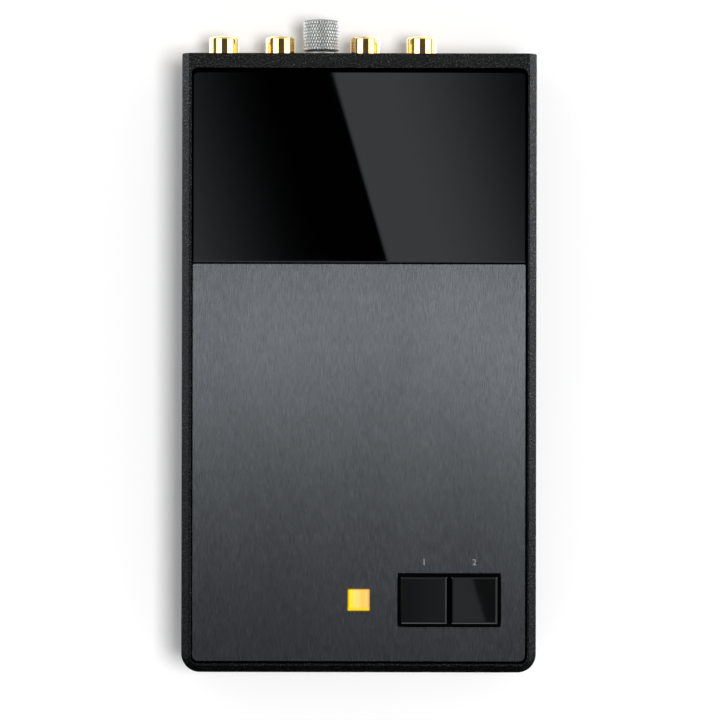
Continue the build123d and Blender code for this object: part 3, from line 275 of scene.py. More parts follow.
def brushed_plate():
    """Dark anodised sheet, brushed front to back."""
    finish = Finish("brushed anodised plate", Metallic=1.0)
    fine = finish.noise((13.0, 0.30, 1.0), 2.0, 0.6)
    streak = finish.noise((4.6, 0.34, 1.0), 2.0, 0.55)
    cloud = finish.noise((0.05, 0.02, 1.0))
    shade = finish.level(streak * 0.55 + fine * 0.3 + cloud * 0.15, 0.34, 0.66)
    base = finish.shade(shade, (99, 100, 101), (125, 126, 127))
    dull = finish.uneven(fine, 0.21, 0.29)
    return finish.done(base, dull, fine * 0.6 + streak * 0.4, 0.035, 1.0)


def black_glass():
    """Back-painted polished glass with the faint trace of a cloth and a painted highlight along its
    front edge.
    """
    finish = Finish("black glass", IOR=1.5)
    wipe = finish.noise((0.06, 0.018, 0.05), 3.0)
    paint = finish.shade(finish.noise(0.03), (0, 0, 0), (1, 1, 1))
    # Painted highlight: a grey band along the front edge stands in for light on its bevel.
    edge_start, edge_end = GLASS_LOW.y + 0.18 * MM, GLASS_LOW.y + 0.48 * MM
    painted_edge_highlight = finish.level(finish.place()[1], edge_start, edge_end, 1.0, 0.0)
    finish.feed("Base Color", finish.tint(painted_edge_highlight, paint, colour(46, 47, 49)))
    finish.feed("Roughness", finish.level(wipe, 0.3, 0.8, 0.01, 0.03))
    return finish.material


def moulded(name, tone, roughness, spread=0.12, grain_per_mm=5.0, depth_mm=0.01, sheen=0.5):
    """Moulded plastic with a fine grain and a slightly uneven gloss."""
    finish = Finish(name, Specular_IOR_Level=sheen)
    cloud = finish.noise(0.25, 3.0)
    grain = finish.noise(grain_per_mm)
    tone = colour(*tone)
    dark, light = ([part * share for part in tone] for share in (1 - spread, 1 + spread))
    base = finish.tint(cloud * 0.6 + grain * 0.4, dark, light)
    dull = finish.uneven(cloud * 0.5 + grain * 0.5, roughness * 0.85, roughness * 1.2)
    return finish.done(base, dull, grain, depth_mm)


def metal(name, tone, roughness, lines=(3.0, 0.4, 3.0), depth_mm=0.004, wear=0.12):
    """Bare or plated metal with fine working marks along one way."""
    finish = Finish(name, Metallic=1.0)
    marks = finish.noise(lines, 3.0, 0.6)
    cloud = finish.noise(0.3)
    base = finish.tint(marks * 0.5 + cloud * 0.5, [part * (1 - wear) for part in tone], tone)
    dull = finish.uneven(marks * 0.6 + cloud * 0.4, roughness * 0.8, roughness * 1.3)
    return finish.done(base, dull, marks, depth_mm)


def knurled():
    """Plated dull metal, darker in the grooves of its knurl and on its neck: painted shade."""
    finish = Finish("knurled nickel", Metallic=1.0)
    low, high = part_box("ground_thumb_nut")
    centre, radius = (low + high) / 2, (high.x - low.x) / 2
    x, _, z = finish.place()
    aside, above = x - centre.x, z - centre.z
    reach = (aside * aside + above * above) ** 0.5
    marks = finish.noise(2.0, 3.0, 0.6)
    worn = finish.shade(marks, (188, 188, 185), (212, 212, 208))
    # Painted shade: below the crests the colour darkens, most in the grooves and on the neck.
    groove = finish.level(reach, radius - 1.2 * MM, radius - 0.5 * MM)
    deep = finish.shade(groove, (74, 74, 74), (152, 152, 150))
    raised = finish.level(reach, radius - 0.24 * MM, radius - 0.03 * MM)
    base = finish.tint(raised, deep, worn)
    return finish.done(base, finish.uneven(marks, 0.42, 0.52), marks, 0.004)


def insulator():
    """White mouldings for the left channel and red ones for the right."""
    finish = Finish("insulator")
    across = finish.place()[0]
    red = 0.0
    for jack in ("input_right", "output_right"):
        x = middle(f"{jack}_jack_shell").x
        red = red + finish.band(across, x - BARREL_REACH, x + BARREL_REACH, 0.01 * MM)
    cloud = finish.noise(0.8, 3.0)
    white_tone = finish.shade(cloud, (206, 203, 195), (228, 225, 217))
    red_tone = finish.shade(cloud, (120, 14, 12), (150, 22, 18))
    base = finish.tint(red, white_tone, red_tone)
    return finish.done(base, finish.uneven(cloud, 0.34, 0.48), cloud, 0.01)


def amber_lens():
    """Lit window: yellow near the lamp, paler and warmer away from it, dark at its rim."""
    finish = Finish("lit amber lens", Roughness=0.18)
    across, along, _ = finish.place()
    stops = [
        (0.00, colour(200, 145, 30)),
        (0.10, colour(255, 242, 10)),
        (0.44, colour(255, 228, 134)),
        (0.68, colour(252, 208, 90)),
        (0.88, colour(254, 213, 124)),
        (1.00, colour(226, 172, 78)),
    ]
    share = across / (2 * LENS_HALF) + 0.5
    glow = finish.add("ShaderNodeValToRGB", {"stops": stops}, {0: share})
    front = along - (middle("indicator_lens").y - LENS_HALF)
    streak = finish.noise((1.4, 0.2, 0.2), 1.0)
    near_front = finish.level(front, 0.5 * MM, 1.3 * MM, 0.85, 0.0)
    glow = finish.tint(near_front, glow, colour(255, 218, 0))
    glow = finish.tint(finish.level(streak, 0.45, 0.75) * 0.2, glow, colour(255, 196, 60))
    rim = finish.level(front.least(2 * LENS_HALF - front), 0.05 * MM, 0.30 * MM, 1.0, 0.0)
    finish.feed("Base Color", finish.shade(streak, (40, 20, 2), (56, 30, 4)))
    finish.feed("Emission Color", finish.tint(rim * 0.8, glow, colour(196, 130, 20)))
    finish.feed("Emission Strength", 1.0)
    return finish.material


def circuit_board():
    """Solder mask over copper tracks, with the laminate's weave."""
    finish = Finish("circuit board")
    across, along, _ = finish.parts(finish.mapped((0.22, 0.22, 0.22)))
    weave = finish.noise((2.4, 2.4, 0.5), 1.0)
    lane = finish.level(across.zigzag().least(along.zigzag()), 0.10, 0.16, 1.0, 0.0)
    track = lane * finish.level(finish.noise(0.06, 0.0), 0.45, 0.5)
    ground = finish.shade(weave, (8, 46, 26), (12, 60, 34))
    base = finish.tint(track, ground, colour(28, 96, 52))
    return finish.done(base, finish.uneven(weave, 0.28, 0.42), track + weave * 0.1, 0.03, 0.6)


def rubber():
    """Matt rubber with a dusty bloom."""
    finish = Finish("foot rubber")
    bloom = finish.noise(0.5, 4.0)
    pore = finish.noise(7.0, 1.0)
    base = finish.shade(bloom, (17, 17, 18), (34, 34, 35))
    return finish.done(base, finish.uneven(bloom, 0.62, 0.85), pore + bloom * 0.4, 0.03)


FINISHES = {
    # The case coat carries painted shade in its recess, dead black there.
    "case_coat": powder_coat("black powder coat", (3, 3, 3), (8, 8, 8), 0.32, SHADED_RECESS),
    "cover_coat": powder_coat("cover coat", (5, 5, 6), (8, 8, 9), 0.50),
    "panel_coat": powder_coat("panel coat", (5, 5, 6), (8, 8, 9), 0.45),
    "brushed_plate": brushed_plate(),
    "black_glass": black_glass(),
    "adhesive": moulded("clear adhesive film", (150, 140, 110), 0.5),
    # The bezel is a real black part, but its colour and gloss are turned down to nearly nothing as
    # painted shade for the deep gap round the buttons.
    "bezel_black": moulded("bezel plastic", (1, 1, 1), 0.6, sheen=0.03),
    "button_black": moulded("button plastic", (5, 5, 5), 0.03, 0.15, 3.0, 0.0),
    "lens_amber": amber_lens(),
    "lamp": moulded("lamp resin", (235, 200, 90), 0.25),
    "screw_black": metal("blackened screw steel", colour(52, 52, 55), 0.38),
    "screw_steel": metal("bright screw steel", colour(190, 190, 188), 0.28),
    "foot_rubber": rubber(),
    "jack_gold": metal("gold plate", (1.0, 0.66, 0.24), 0.10, (0.6, 3.0, 0.6), 0.002, 0.06),
    "contact_gold": metal("contact gold", (0.98, 0.68, 0.28), 0.2, (1.0, 2.0, 1.0)),
    "jack_insulator": insulator(),
    "jack_moulding": moulded("jack moulding", (24, 24, 26), 0.45),
    "knurled_nickel": knurled(),
    "bright_nickel": metal("bright nickel", colour(150, 149, 146), 0.42, (1.0, 4.0, 1.0)),
    "lug_tin": metal("tinned brass", colour(200, 198, 190), 0.35),
    "wire_cover": moulded("green wire cover", (30, 120, 52), 0.4),
    "board_laminate": circuit_board(),
    "standoff_steel": metal("standoff steel", colour(186, 186, 182), 0.3, (3.0, 3.0, 0.4)),
    "spring_steel": metal("spring steel", colour(150, 150, 150), 0.25),
    "switch_moulding": moulded("switch moulding", (34, 34, 38), 0.4),
    "plunger_white": moulded("plunger plastic", (222, 220, 212), 0.38),
    "selector_moulding": moulded("selector moulding", (24, 58, 128), 0.42),
    "slider_white": moulded("slider plastic", (232, 230, 224), 0.36),
    "can_sleeve": moulded("capacitor sleeve", (20, 24, 40), 0.3),
    "film_case": moulded("film capacitor case", (150, 40, 30), 0.35),
    "chip_epoxy": moulded("chip epoxy", (22, 22, 23), 0.55),
}


# ---- Shared shapes ----


ORIGIN = [(0.0, 0.0)]
FLAT_ANGLE = math.radians(0.6)
SHARP_ANGLE = math.radians(30.0)


def piece_from(name, data):
    """Object for a finished mesh, curve, lamp or camera."""
    data.name = name
    piece = bpy.data.objects.new(name, data)
    bpy.context.scene.collection.objects.link(piece)
    return piece


def piece_of(name, bm, crease=35.0):
    """Object from mesh code, smooth except at edges sharper than the crease."""
    mesh = bpy.data.meshes.new(name)
    bm.to_mesh(mesh)
    bm.free()
    mesh.shade_smooth()
    mesh.set_sharp_from_angle(angle=math.radians(crease))
    return piece_from(name, mesh)


def plain(piece, name):
    """Plain mesh of what a piece's modifiers make of it."""
    graph = bpy.context.evaluated_depsgraph_get()
    mesh = bpy.data.meshes.new_from_object(piece.evaluated_get(graph))
    bpy.data.objects.remove(piece)
    return piece_from(name, mesh)


def dress(piece, slot, body, *nodes):
    """Give a piece its finish, its body and the nodes that it stands for."""
    piece.data.materials.clear()
    piece.data.materials.append(FINISHES[slot])
    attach(piece, body)
    if nodes:
        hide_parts(*nodes)


def fix(piece, slot, *nodes):
    """Dress a piece that stays with the chassis."""
    dress(piece, slot, "chassis", *nodes)


def rounded(line, corners, steps=5):
    """Closed line of (radius, along) points; corners maps the rounded ones' index to their size."""
    result = []
    for index, point in enumerate(line):
        if index not in corners:
            result.append(point)
            continue
        here = Vector(point)
        before = (Vector(line[index - 1]) - here).normalized()
        after = (Vector(line[(index + 1) % len(line)]) - here).normalized()
        half = before.angle(after) / 2
        size = corners[index]
        centre = here + (before + after).normalized() * size / math.sin(half)
        start = here + before * size / math.tan(half) - centre
        sweep = start.angle_signed(here + after * size / math.tan(half) - centre)
        for step in range(steps + 1):
            angle = -sweep * step / steps
            cos, sin = math.cos(angle), math.sin(angle)
            x, y = start.x * cos - start.y * sin, start.x * sin + start.y * cos
            result.append((centre.x + x, centre.y + y))
    return result


def turned(line, centre, steps, upright=False, arc=(0.0, TURN), bm=None):
    """Solid swept round an axis along Y, or upright, by a closed line of (radius, along) points.

    A radius may be a function of the angle. An arc shorter than a turn gets flat ends.
    """
    bm = bm or bmesh.new()
    start, sweep = arc
    whole = sweep == TURN
    rows = []
    for step in range(steps if whole else steps + 1):
        angle = start + sweep * step / steps
        row = []
        for radius, along in line:
            reach = radius(angle) if callable(radius) else radius
            first = centre[0] + reach * math.cos(angle)
            second = centre[1] + reach * math.sin(angle)
            row.append(bm.verts.new((first, second, along) if upright else (first, along, second)))
        rows.append(row)
    for row, after in zip(rows, rows[1:] + rows[: int(whole)]):
        for index in range(len(line)):
            other = (index + 1) % len(line)
            bm.faces.new((row[index], row[other], after[other], after[index]))
    if not whole:
        bm.faces.new(rows[0])
        bm.faces.new(rows[-1])
    return bm


def lathe(name, line, centres, steps, crease=40.0, upright=False):
    """Piece turned from a closed line, once on each of its axes."""
    bm = bmesh.new()
    for centre in centres:
        turned(line, centre, steps, upright, bm=bm)
    return piece_of(name, closed(bm), crease)


def hexagon(across_flats, corner=1.0):
    """Radius of a hexagon at an angle, its corners turned down to the corner radius."""

    def reach(angle):
        from_flat = (angle + TURN / 12) % (TURN / 6) - TURN / 12
        return min(across_flats / 2 / math.cos(from_flat), corner)

    return reach


def closed(bm):
    """Merge what touches, drop faces without area and point all faces outwards."""
    bmesh.ops.remove_doubles(bm, verts=bm.verts, dist=0.1e-6)
    bmesh.ops.dissolve_degenerate(bm, edges=bm.edges, dist=0.1e-6)
    bmesh.ops.recalc_face_normals(bm, faces=bm.faces)
    return bm


def copied(node):
    """Merged copy of a node's mesh, with its flat sides made whole again."""
    bm = bmesh.new()
    bm.from_mesh(NODES[node].data)
    bmesh.ops.remove_doubles(bm, verts=bm.verts, dist=1e-6)
    bmesh.ops.dissolve_limit(bm, angle_limit=FLAT_ANGLE, verts=bm.verts, edges=bm.edges)
    return bm


def break_edges(bm, edges, width_mm, segments):
    """Round edges off, as wide as asked where there is room."""
    size = {"offset": width_mm * MM, "segments": segments, "profile": 0.5}
    bmesh.ops.bevel(bm, geom=edges, affect="EDGES", clamp_overlap=True, **size)


def softened(node, name, width_mm, keep, reshape=None):
    """Copy of a node with its sharp edges broken where keep(middle of the edge) says so."""
    bm = copied(node)
    if reshape:
        reshape(bm)
    sharp = [e for e in bm.edges if e.is_manifold and e.calc_face_angle(0.0) >= SHARP_ANGLE]
    chosen = [e for e in sharp if keep((e.verts[0].co + e.verts[1].co) / 2)]
    break_edges(bm, chosen, width_mm, 2)
    piece = piece_of(f"{name}_blank", bm, 50.0)
    flat = piece.modifiers.new("flat faces", "WEIGHTED_NORMAL")
    flat.weight = 100
    flat.keep_sharp = True
    return plain(piece, name)


# Faces of a box: which of its corners, and along which axis
TOP, REAR, UNDER = (1, 2), (1, 1), (0, 2)


def faced(node, name, face, width_mm, slot, body="chassis"):
    """A node with the edges round one of its faces broken."""
    end, axis = face
    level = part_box(node)[end][axis]
    piece = softened(node, name, width_mm, lambda point: abs(point[axis] - level) < 0.02 * MM)
    dress(piece, slot, body, node)


# ---- Geometry trees ----


def geometry_tree(name, inputs):
    """Geometry tree with named inputs; gives its nodes and its inputs' signals and identifiers."""
    tree = bpy.data.node_groups.new(name, "GeometryNodeTree")
    for way in ("OUTPUT", "INPUT"):
        tree.interface.new_socket("Geometry", in_out=way, socket_type="NodeSocketGeometry")
    names = {}
    for label, kind in inputs.items():
        socket = tree.interface.new_socket(label, in_out="INPUT", socket_type=f"NodeSocket{kind}")
        names[label] = socket.identifier
    entry = tree.nodes.new("NodeGroupInput")
    signals = {socket.name: Signal(tree, socket) for socket in entry.outputs if socket.name}
    return Nodes(tree), signals, names


def end_tree(nodes, geometry, finish):
    """Close a geometry tree with real geometry in one finish."""
    whole = nodes.add("GeometryNodeRealizeInstances", sockets={"Geometry": geometry})
    dressed = nodes.add("GeometryNodeSetMaterial", sockets={"Geometry": whole, "Material": finish})
    exit_node = nodes.tree.nodes.new("NodeGroupOutput")
    nodes.tree.links.new(dressed.socket, exit_node.inputs[0])


def settled(piece, tree, values, name):
    """Plain mesh of what a geometry tree makes of a piece."""
    nodes, names = tree
    modifier = piece.modifiers.new(nodes.tree.name, "NODES")
    modifier.node_group = nodes.tree
    for label, value in values.items():
        modifier[names[label]] = value
    return plain(piece, name)


CREST_GAIN = 1.7


def ridge_tree():
    """Ridges cut into a turned piece: one helix for a thread, two crossing ones for a knurl."""
    numbers = dict.fromkeys(("Starts", "Lead", "Depth", "Crossed"), "Float")
    inputs = {"Centre": "Vector", **numbers, "Finish": "Material"}
    nodes, given, names = geometry_tree("cut ridges", inputs)
    place = nodes.add("GeometryNodeInputPosition")
    x, y, z = nodes.parts(nodes.vector("SUBTRACT", {0: place, 1: given["Centre"]}))
    round_share = z.math("ARCTAN2", z, x) * given["Starts"] / TURN
    along = y / given["Lead"]
    first = (round_share + along).zigzag()
    second = (round_share - along).zigzag()
    height = (first.least(second.most(1 - given["Crossed"])) * CREST_GAIN).least(1.0)
    worked = nodes.add("GeometryNodeInputNamedAttribute", sockets={"Name": "worked"})
    drop = (height - 1) * given["Depth"] * worked
    flat_arm = nodes.add("ShaderNodeCombineXYZ", sockets={0: x, 1: 0.0, 2: z})
    outward = nodes.vector("NORMALIZE", {0: flat_arm})
    offset = nodes.vector("SCALE", {0: outward, "Scale": drop})
    sockets = {"Geometry": given["Geometry"], "Offset": offset}
    end_tree(nodes, nodes.add("GeometryNodeSetPosition", sockets=sockets), given["Finish"])
    return nodes, names


def place_tree():
    """One part set out on a group of places, each turned by chance about an axis."""
    inputs = {"Part": "Object", "Axis": "Vector", "Seed": "Int", "Finish": "Material"}
    nodes, given, names = geometry_tree("set out on places", inputs)
    original = {"transform_space": "ORIGINAL"}
    part = nodes.add("GeometryNodeObjectInfo", original, {"Object": given["Part"]}, "Geometry")
    chance = {2: 0.0, 3: TURN, "Seed": given["Seed"]}
    angle = nodes.add("FunctionNodeRandomValue", {"data_type": "FLOAT"}, chance, 1)
    spin = nodes.vector("SCALE", {0: given["Axis"], "Scale": angle})
    turn = nodes.add("FunctionNodeEulerToRotation", sockets={0: spin})
    points = nodes.add("GeometryNodeMeshToPoints", sockets={"Mesh": given["Geometry"]})
    sockets = {"Points": points, "Instance": part, "Rotation": turn}
    copies = nodes.add("GeometryNodeInstanceOnPoints", sockets=sockets)
    end_tree(nodes, copies, given["Finish"])
    return nodes, names


RIDGES = ridge_tree()
PLACES = place_tree()


def set_out(name, node, part, places, slot, axis, seed):
    """Copies of a part, made at the origin, on a node's places as one mesh."""
    spots = bpy.data.meshes.new(f"{name}_places")
    spots.from_pydata(places, [], [])
    values = {"Part": part, "Axis": axis, "Seed": seed, "Finish": FINISHES[slot]}
    piece = settled(piece_from(f"{name}_places", spots), PLACES, values, name)
    bpy.data.objects.remove(part)
    fix(piece, slot, node)


# ---- Case ----

CASE_EDGE_BREAK = 0.22
LEFT_EDGE_BREAK = 0.45
LEFT_EDGE_SHIFT = 0.3 * MM
FRONT_LIP = 5.3 * MM
SHOULDER_DROP = 2.1 * MM


def ease_left_rim(bm):
    """Roll the recess's left edge in a little and round it more than the others."""
    wall, brim = PLATE_LOW.x - 0.6 * MM, CASE_HIGH.z - 0.01 * MM
    top = [v for v in bm.verts if abs(v.co.x - wall) < 0.05 * MM and v.co.z > brim]
    for vertex in top:
        vertex.co.x += LEFT_EDGE_SHIFT
    edges = {edge for vertex in top for edge in vertex.link_edges if edge.other_vert(vertex) in top}
    break_edges(bm, list(edges), LEFT_EDGE_BREAK, 4)


def shell_edge(point):
    """True for the case's outer edges, the rim of its recess and the mouth at its rear."""
    side = abs(point.x) > CASE_HIGH.x - 0.1 * MM
    front = point.y < CASE_LOW.y + FRONT_LIP
    rear = point.y > CASE_HIGH.y - 0.05 * MM
    rim = point.z > CASE_HIGH.z - 0.1 * MM
    outside = abs(point.x) > PLATE_HIGH.x + 0.7 * MM or point.y < PLATE_LOW.y - 0.7 * MM
    shoulder = outside and point.z > CASE_HIGH.z - SHOULDER_DROP
    bottom = point.z < CASE_LOW.z + 0.05 * MM
    return rim or shoulder or side or rear or (bottom and front)


case = softened("case_shell", "case", CASE_EDGE_BREAK, shell_edge, reshape=ease_left_rim)
fix(case, "case_coat", "case_shell")


# ---- Push buttons and their bezel ----

FRONT_EASE = 0.12 * MM
RIGHT_EASE = 0.10 * MM


def button_cap(label):
    """Cap with finely broken top edges, the front and right ones eased further back."""
    node = f"{label}_button_cap"
    low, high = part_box(node)

    def reshape(bm):
        for vertex in [v for v in bm.verts if v.co.z > high.z - 0.01 * MM]:
            if vertex.co.y < (low.y + high.y) / 2:
                vertex.co.y += FRONT_EASE
            if vertex.co.x > (low.x + high.x) / 2:
                vertex.co.x -= RIGHT_EASE

    edge = high.z - 0.5 * MM
    cap = softened(node, f"{label}_button", 0.08, lambda point: point.z > edge, reshape)
    dress(cap, "button_black", f"{label}_button", node)


def return_spring(label):
    """Coil spring as a merged copy of its node, fixed to the chassis with a mesh of its own."""
    node = f"{label}_switch_spring"
    spring = piece_of(f"{label}_return_spring", copied(node))
    fix(spring, NODE_SLOTS[node], node)
    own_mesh(spring)


for label in ("mono", "filter"):
    button_cap(label)
    return_spring(label)

faced("button_bezel", "bezel", TOP, 0.12, "bezel_black")


# ---- Phono jacks ----

JACKS = [f"{pair}_{channel}" for pair in ("input", "output") for channel in ("left", "right")]
SHELLS = [f"{jack}_jack_shell" for jack in JACKS]
CONTACTS = [f"{jack}_jack_contact" for jack in JACKS]
JACK_CENTRES = [(middle(shell).x, middle(shell).z) for shell in SHELLS]
BARREL_RADIUS = 4.2 * MM
BARREL_BORE_RADIUS = 3.25 * MM
TAIL_RADIUS = 4.6 * MM
SHOULDER_SETBACK = 5.9 * MM
MOUTH_ROLL = 0.68 * MM
THREAD_GAP = 0.05 * MM
CONTACT_RADIUS = 2.1 * MM
CONTACT_BORE_RADIUS = 1.6 * MM
CONTACT_BORE_DEPTH = 14.5 * MM
SLIT_DEPTH = 6.0 * MM
SLIT_WIDTH = 0.35 * MM
GROOVE_DEPTH = 0.5 * MM
JACK_NUT_ACROSS_FLATS = 12.0 * MM


def jack_barrels():
    """Four gold barrels: a rolled mouth, a plain tube and a wider tail."""
    low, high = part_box(SHELLS[0])
    mouth, tail = high.y, low.y
    shoulder = mouth - SHOULDER_SETBACK
    line = [
        (BARREL_BORE_RADIUS, tail),
        (TAIL_RADIUS - 0.3 * MM, tail),
        (TAIL_RADIUS, tail + 0.3 * MM),
        (TAIL_RADIUS, shoulder - 0.25 * MM),
        (TAIL_RADIUS - 0.25 * MM, shoulder),
        (BARREL_RADIUS, shoulder),
        (BARREL_RADIUS, mouth),
        (BARREL_BORE_RADIUS, mouth),
    ]
    return lathe("jack_barrels", rounded(line, {6: MOUTH_ROLL, 7: 0.2 * MM}, 7), JACK_CENTRES, 128)


def jack_contacts():
    """Centre sleeves, each slit four ways behind its mouth."""
    bm = bmesh.new()
    low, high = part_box(CONTACTS[0])
    slit_end = high.y - SLIT_DEPTH
    bore_end = high.y - CONTACT_BORE_DEPTH
    tube = [
        (0.0, low.y),
        (CONTACT_RADIUS - 0.2 * MM, low.y),
        (CONTACT_RADIUS, low.y + 0.2 * MM),
        (CONTACT_RADIUS, slit_end),
        (CONTACT_BORE_RADIUS, slit_end),
        (CONTACT_BORE_RADIUS, bore_end),
        (0.0, bore_end),
    ]
    inner, outer = CONTACT_BORE_RADIUS + 0.03 * MM, CONTACT_RADIUS - 0.03 * MM
    root = slit_end - 0.2 * MM
    finger = [(inner, root), (outer, root), (outer, high.y), (inner, high.y)]
    finger = rounded(finger, {2: 0.16 * MM, 3: 0.16 * MM}, 3)
    gap = SLIT_WIDTH / CONTACT_RADIUS
    for centre in JACK_CENTRES:
        turned(tube, centre, 48, bm=bm)
        for quarter in range(4):
            arc = (TURN / 8 + TURN * quarter / 4 + gap / 2, TURN / 4 - gap)
            turned(finger, centre, 14, arc=arc, bm=bm)
    return piece_of("jack_contacts", closed(bm), 40.0)


def jack_insulators():
    """Moulded rings round the centre sleeves, with a groove in their front."""
    low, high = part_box("jack_insulators")
    outer = BARREL_BORE_RADIUS - 0.05 * MM
    inner = CONTACT_RADIUS + 0.05 * MM
    groove = high.y - GROOVE_DEPTH
    line = [
        (inner, low.y),
        (outer, low.y),
        (outer, high.y),
        (outer - 0.3 * MM, high.y),
        (outer - 0.3 * MM, groove),
        (inner + 0.25 * MM, groove),
        (inner + 0.25 * MM, high.y),
        (inner, high.y),
    ]
    line = rounded(line, {2: 0.08 * MM, 3: 0.08 * MM, 6: 0.08 * MM}, 2)
    return lathe("jack_insulators_dressed", line, JACK_CENTRES, 72)


def hex_nuts(node, name, centres, across_flats, thread_radius, slot):
    """Hexagonal nuts with turned-down corners."""
    low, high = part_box(node)
    bore, ease = thread_radius + THREAD_GAP, 0.25 * MM
    face = hexagon(across_flats, across_flats / 2 + ease)
    side = hexagon(across_flats, across_flats / 2 / math.cos(TURN / 12))
    line = [
        (bore + ease, low.y),
        (face, low.y),
        (side, low.y + 0.32 * MM),
        (side, high.y - 0.32 * MM),
        (face, high.y),
        (bore + ease, high.y),
        (bore, high.y - ease),
        (bore, low.y + ease),
    ]
    fix(lathe(name, line, centres, 96, 25.0), slot, node)


fix(jack_barrels(), "jack_gold", *SHELLS)
fix(jack_contacts(), "contact_gold", *CONTACTS)
fix(jack_insulators(), "jack_insulator", "jack_insulators")
across, thread = JACK_NUT_ACROSS_FLATS, TAIL_RADIUS
hex_nuts("jack_nuts", "jack_hex_nuts", JACK_CENTRES, across, thread, "jack_gold")


# ---- Ground terminal ----

KNURL = {"Starts": 39.0, "Lead": 1.84 * MM, "Depth": 0.26 * MM, "Crossed": 1.0}
THREAD = {"Starts": 1.0, "Lead": 0.7 * MM, "Depth": 0.4 * MM, "Crossed": 0.0}
NUT_ROWS = 66
NUT_STEPS = 12 * int(KNURL["Starts"])
STUD_RADIUS = 2.0 * MM
STUD_ROWS_PER_MM = 10
LOCK_NUT_ACROSS_FLATS = 7.0 * MM
GROUND_CENTRE = (middle("ground_stud").x, middle("ground_stud").z)


def from_axis(point):
    """Distance of a point from the ground terminal's axis."""
    return math.hypot(point.x - GROUND_CENTRE[0], point.z - GROUND_CENTRE[1])


def cut_ridges(piece, name, slot, start, ridges, share):
    """The piece with ridges round the terminal's axis, as deep as share says at each point."""
    attribute = piece.data.attributes.new("worked", "FLOAT", "POINT")
    for vertex, value in zip(piece.data.vertices, attribute.data):
        value.value = share(vertex.co)
    values = {"Centre": (GROUND_CENTRE[0], start, GROUND_CENTRE[1]), **ridges}
    return settled(piece, RIDGES, {**values, "Finish": FINISHES[slot]}, name)


def thumb_nut():
    """Thumb nut with a neck at its base and a crossed knurl between its chamfered ends."""
    low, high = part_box("ground_thumb_nut")
    radius = (high.x - low.x) / 2
    bore = STUD_RADIUS + THREAD_GAP
    neck = radius - 1.5 * MM
    chamfer = 0.4 * MM
    start, end = low.y + 0.6 * MM, high.y - chamfer
    side = [(radius, start + (end - start) * row / NUT_ROWS) for row in range(NUT_ROWS + 1)]
    line = [
        (bore, low.y),
        (neck, low.y),
        (neck, low.y + 0.5 * MM),
        (radius - 0.25 * MM, low.y + 0.5 * MM),
        *side,
        (radius - chamfer, high.y),
        (bore + 0.3 * MM, high.y),
        (bore, high.y - 0.3 * MM),
    ]
    piece = lathe("thumb_nut_blank", line, [GROUND_CENTRE], NUT_STEPS, 180.0)

    def share(point):
        return 1.0 if from_axis(point) > radius - 0.01 * MM else 0.0

    nut = cut_ridges(piece, "thumb_nut", "knurled_nickel", low.y, KNURL, share)
    nut.data.shade_flat()
    return nut


def threaded_stud():
    """Stud with a metric thread from end to end, its crests faded out at the chamfers."""
    low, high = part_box("ground_stud")
    rows = round((high.y - low.y) / MM * STUD_ROWS_PER_MM)
    fade = 0.4 * MM
    span = high.y - low.y - 2 * fade
    side = [(STUD_RADIUS, low.y + fade + span * row / rows) for row in range(rows + 1)]
    tip = STUD_RADIUS - fade
    line = [(0.0, low.y), (tip, low.y), *side, (tip, high.y), (0.0, high.y)]
    piece = lathe("threaded_stud_blank", line, [GROUND_CENTRE], 60, 180.0)

    def share(point):
        on_side = from_axis(point) > STUD_RADIUS - 0.01 * MM
        return min(1.0, (min(point.y - low.y, high.y - point.y) - fade) / MM) if on_side else 0.0

    return cut_ridges(piece, "threaded_stud", "bright_nickel", low.y, THREAD, share)


def collar(node, name, edge_mm, slot, body):
    """Ring on the stud with broken outer edges."""
    low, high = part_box(node)
    radius, bore = (high.x - low.x) / 2, STUD_RADIUS + 0.1 * MM
    line = [(bore, low.y), (radius, low.y), (radius, high.y), (bore, high.y)]
    line = rounded(line, {1: edge_mm * MM, 2: edge_mm * MM}, 4)
    dress(lathe(name, line, [GROUND_CENTRE], 96), slot, body, node)


dress(thumb_nut(), "knurled_nickel", "ground_nut", "ground_thumb_nut")
fix(threaded_stud(), "bright_nickel", "ground_stud")
collar("ground_bushing", "stud_bushing", 0.3, "bright_nickel", "chassis")
collar("ground_washer", "flat_washer", 0.25, "bright_nickel", "ground_clamp")
across, thread = LOCK_NUT_ACROSS_FLATS, STUD_RADIUS
hex_nuts("ground_lock_nut", "stud_lock_nut", [GROUND_CENTRE], across, thread, "bright_nickel")


# ---- Rear panel, inlet and their screws ----

SCREW_RADIUS = 1.25 * MM
PAN_HEAD_RADIUS = 2.2 * MM
FLAT_HEAD_RADIUS = 2.4 * MM
HEX_DEPTH = 0.8 * MM
HEX_WALL = hexagon(1.47 * MM)
HEX_MOUTH = hexagon(1.47 * MM + 0.2 * MM)


def spaced(low, high, inset, count=2):
    """Evenly spaced places between two ends, an inset away from both."""
    span = high - low - 2 * inset
    return [low + inset + span * step / (count - 1) for step in range(count)]


faced("rear_panel", "rear_plate", REAR, 0.15, "panel_coat")
faced("power_jack_housing", "inlet", REAR, 0.15, "jack_moulding")


def pan_head_screw():
    """Domed screw with a hexagonal socket, its seat at the origin, its head towards +Y."""
    height = 1.6 * MM
    line = [
        (0.0, height - HEX_DEPTH),
        (HEX_WALL, height - HEX_DEPTH),
        (HEX_WALL, height - 0.1 * MM),
        (HEX_MOUTH, height),
        (1.3 * MM, height),
        (PAN_HEAD_RADIUS, height),
        (PAN_HEAD_RADIUS, 0.0),
        (SCREW_RADIUS, 0.0),
        (SCREW_RADIUS, -6.7 * MM),
        (SCREW_RADIUS - 0.3 * MM, -7.0 * MM),
        (0.0, -7.0 * MM),
    ]
    line = rounded(line, {5: 0.75 * MM}, 6)
    return lathe("pan_head_screw", line, ORIGIN, 48, 35.0)


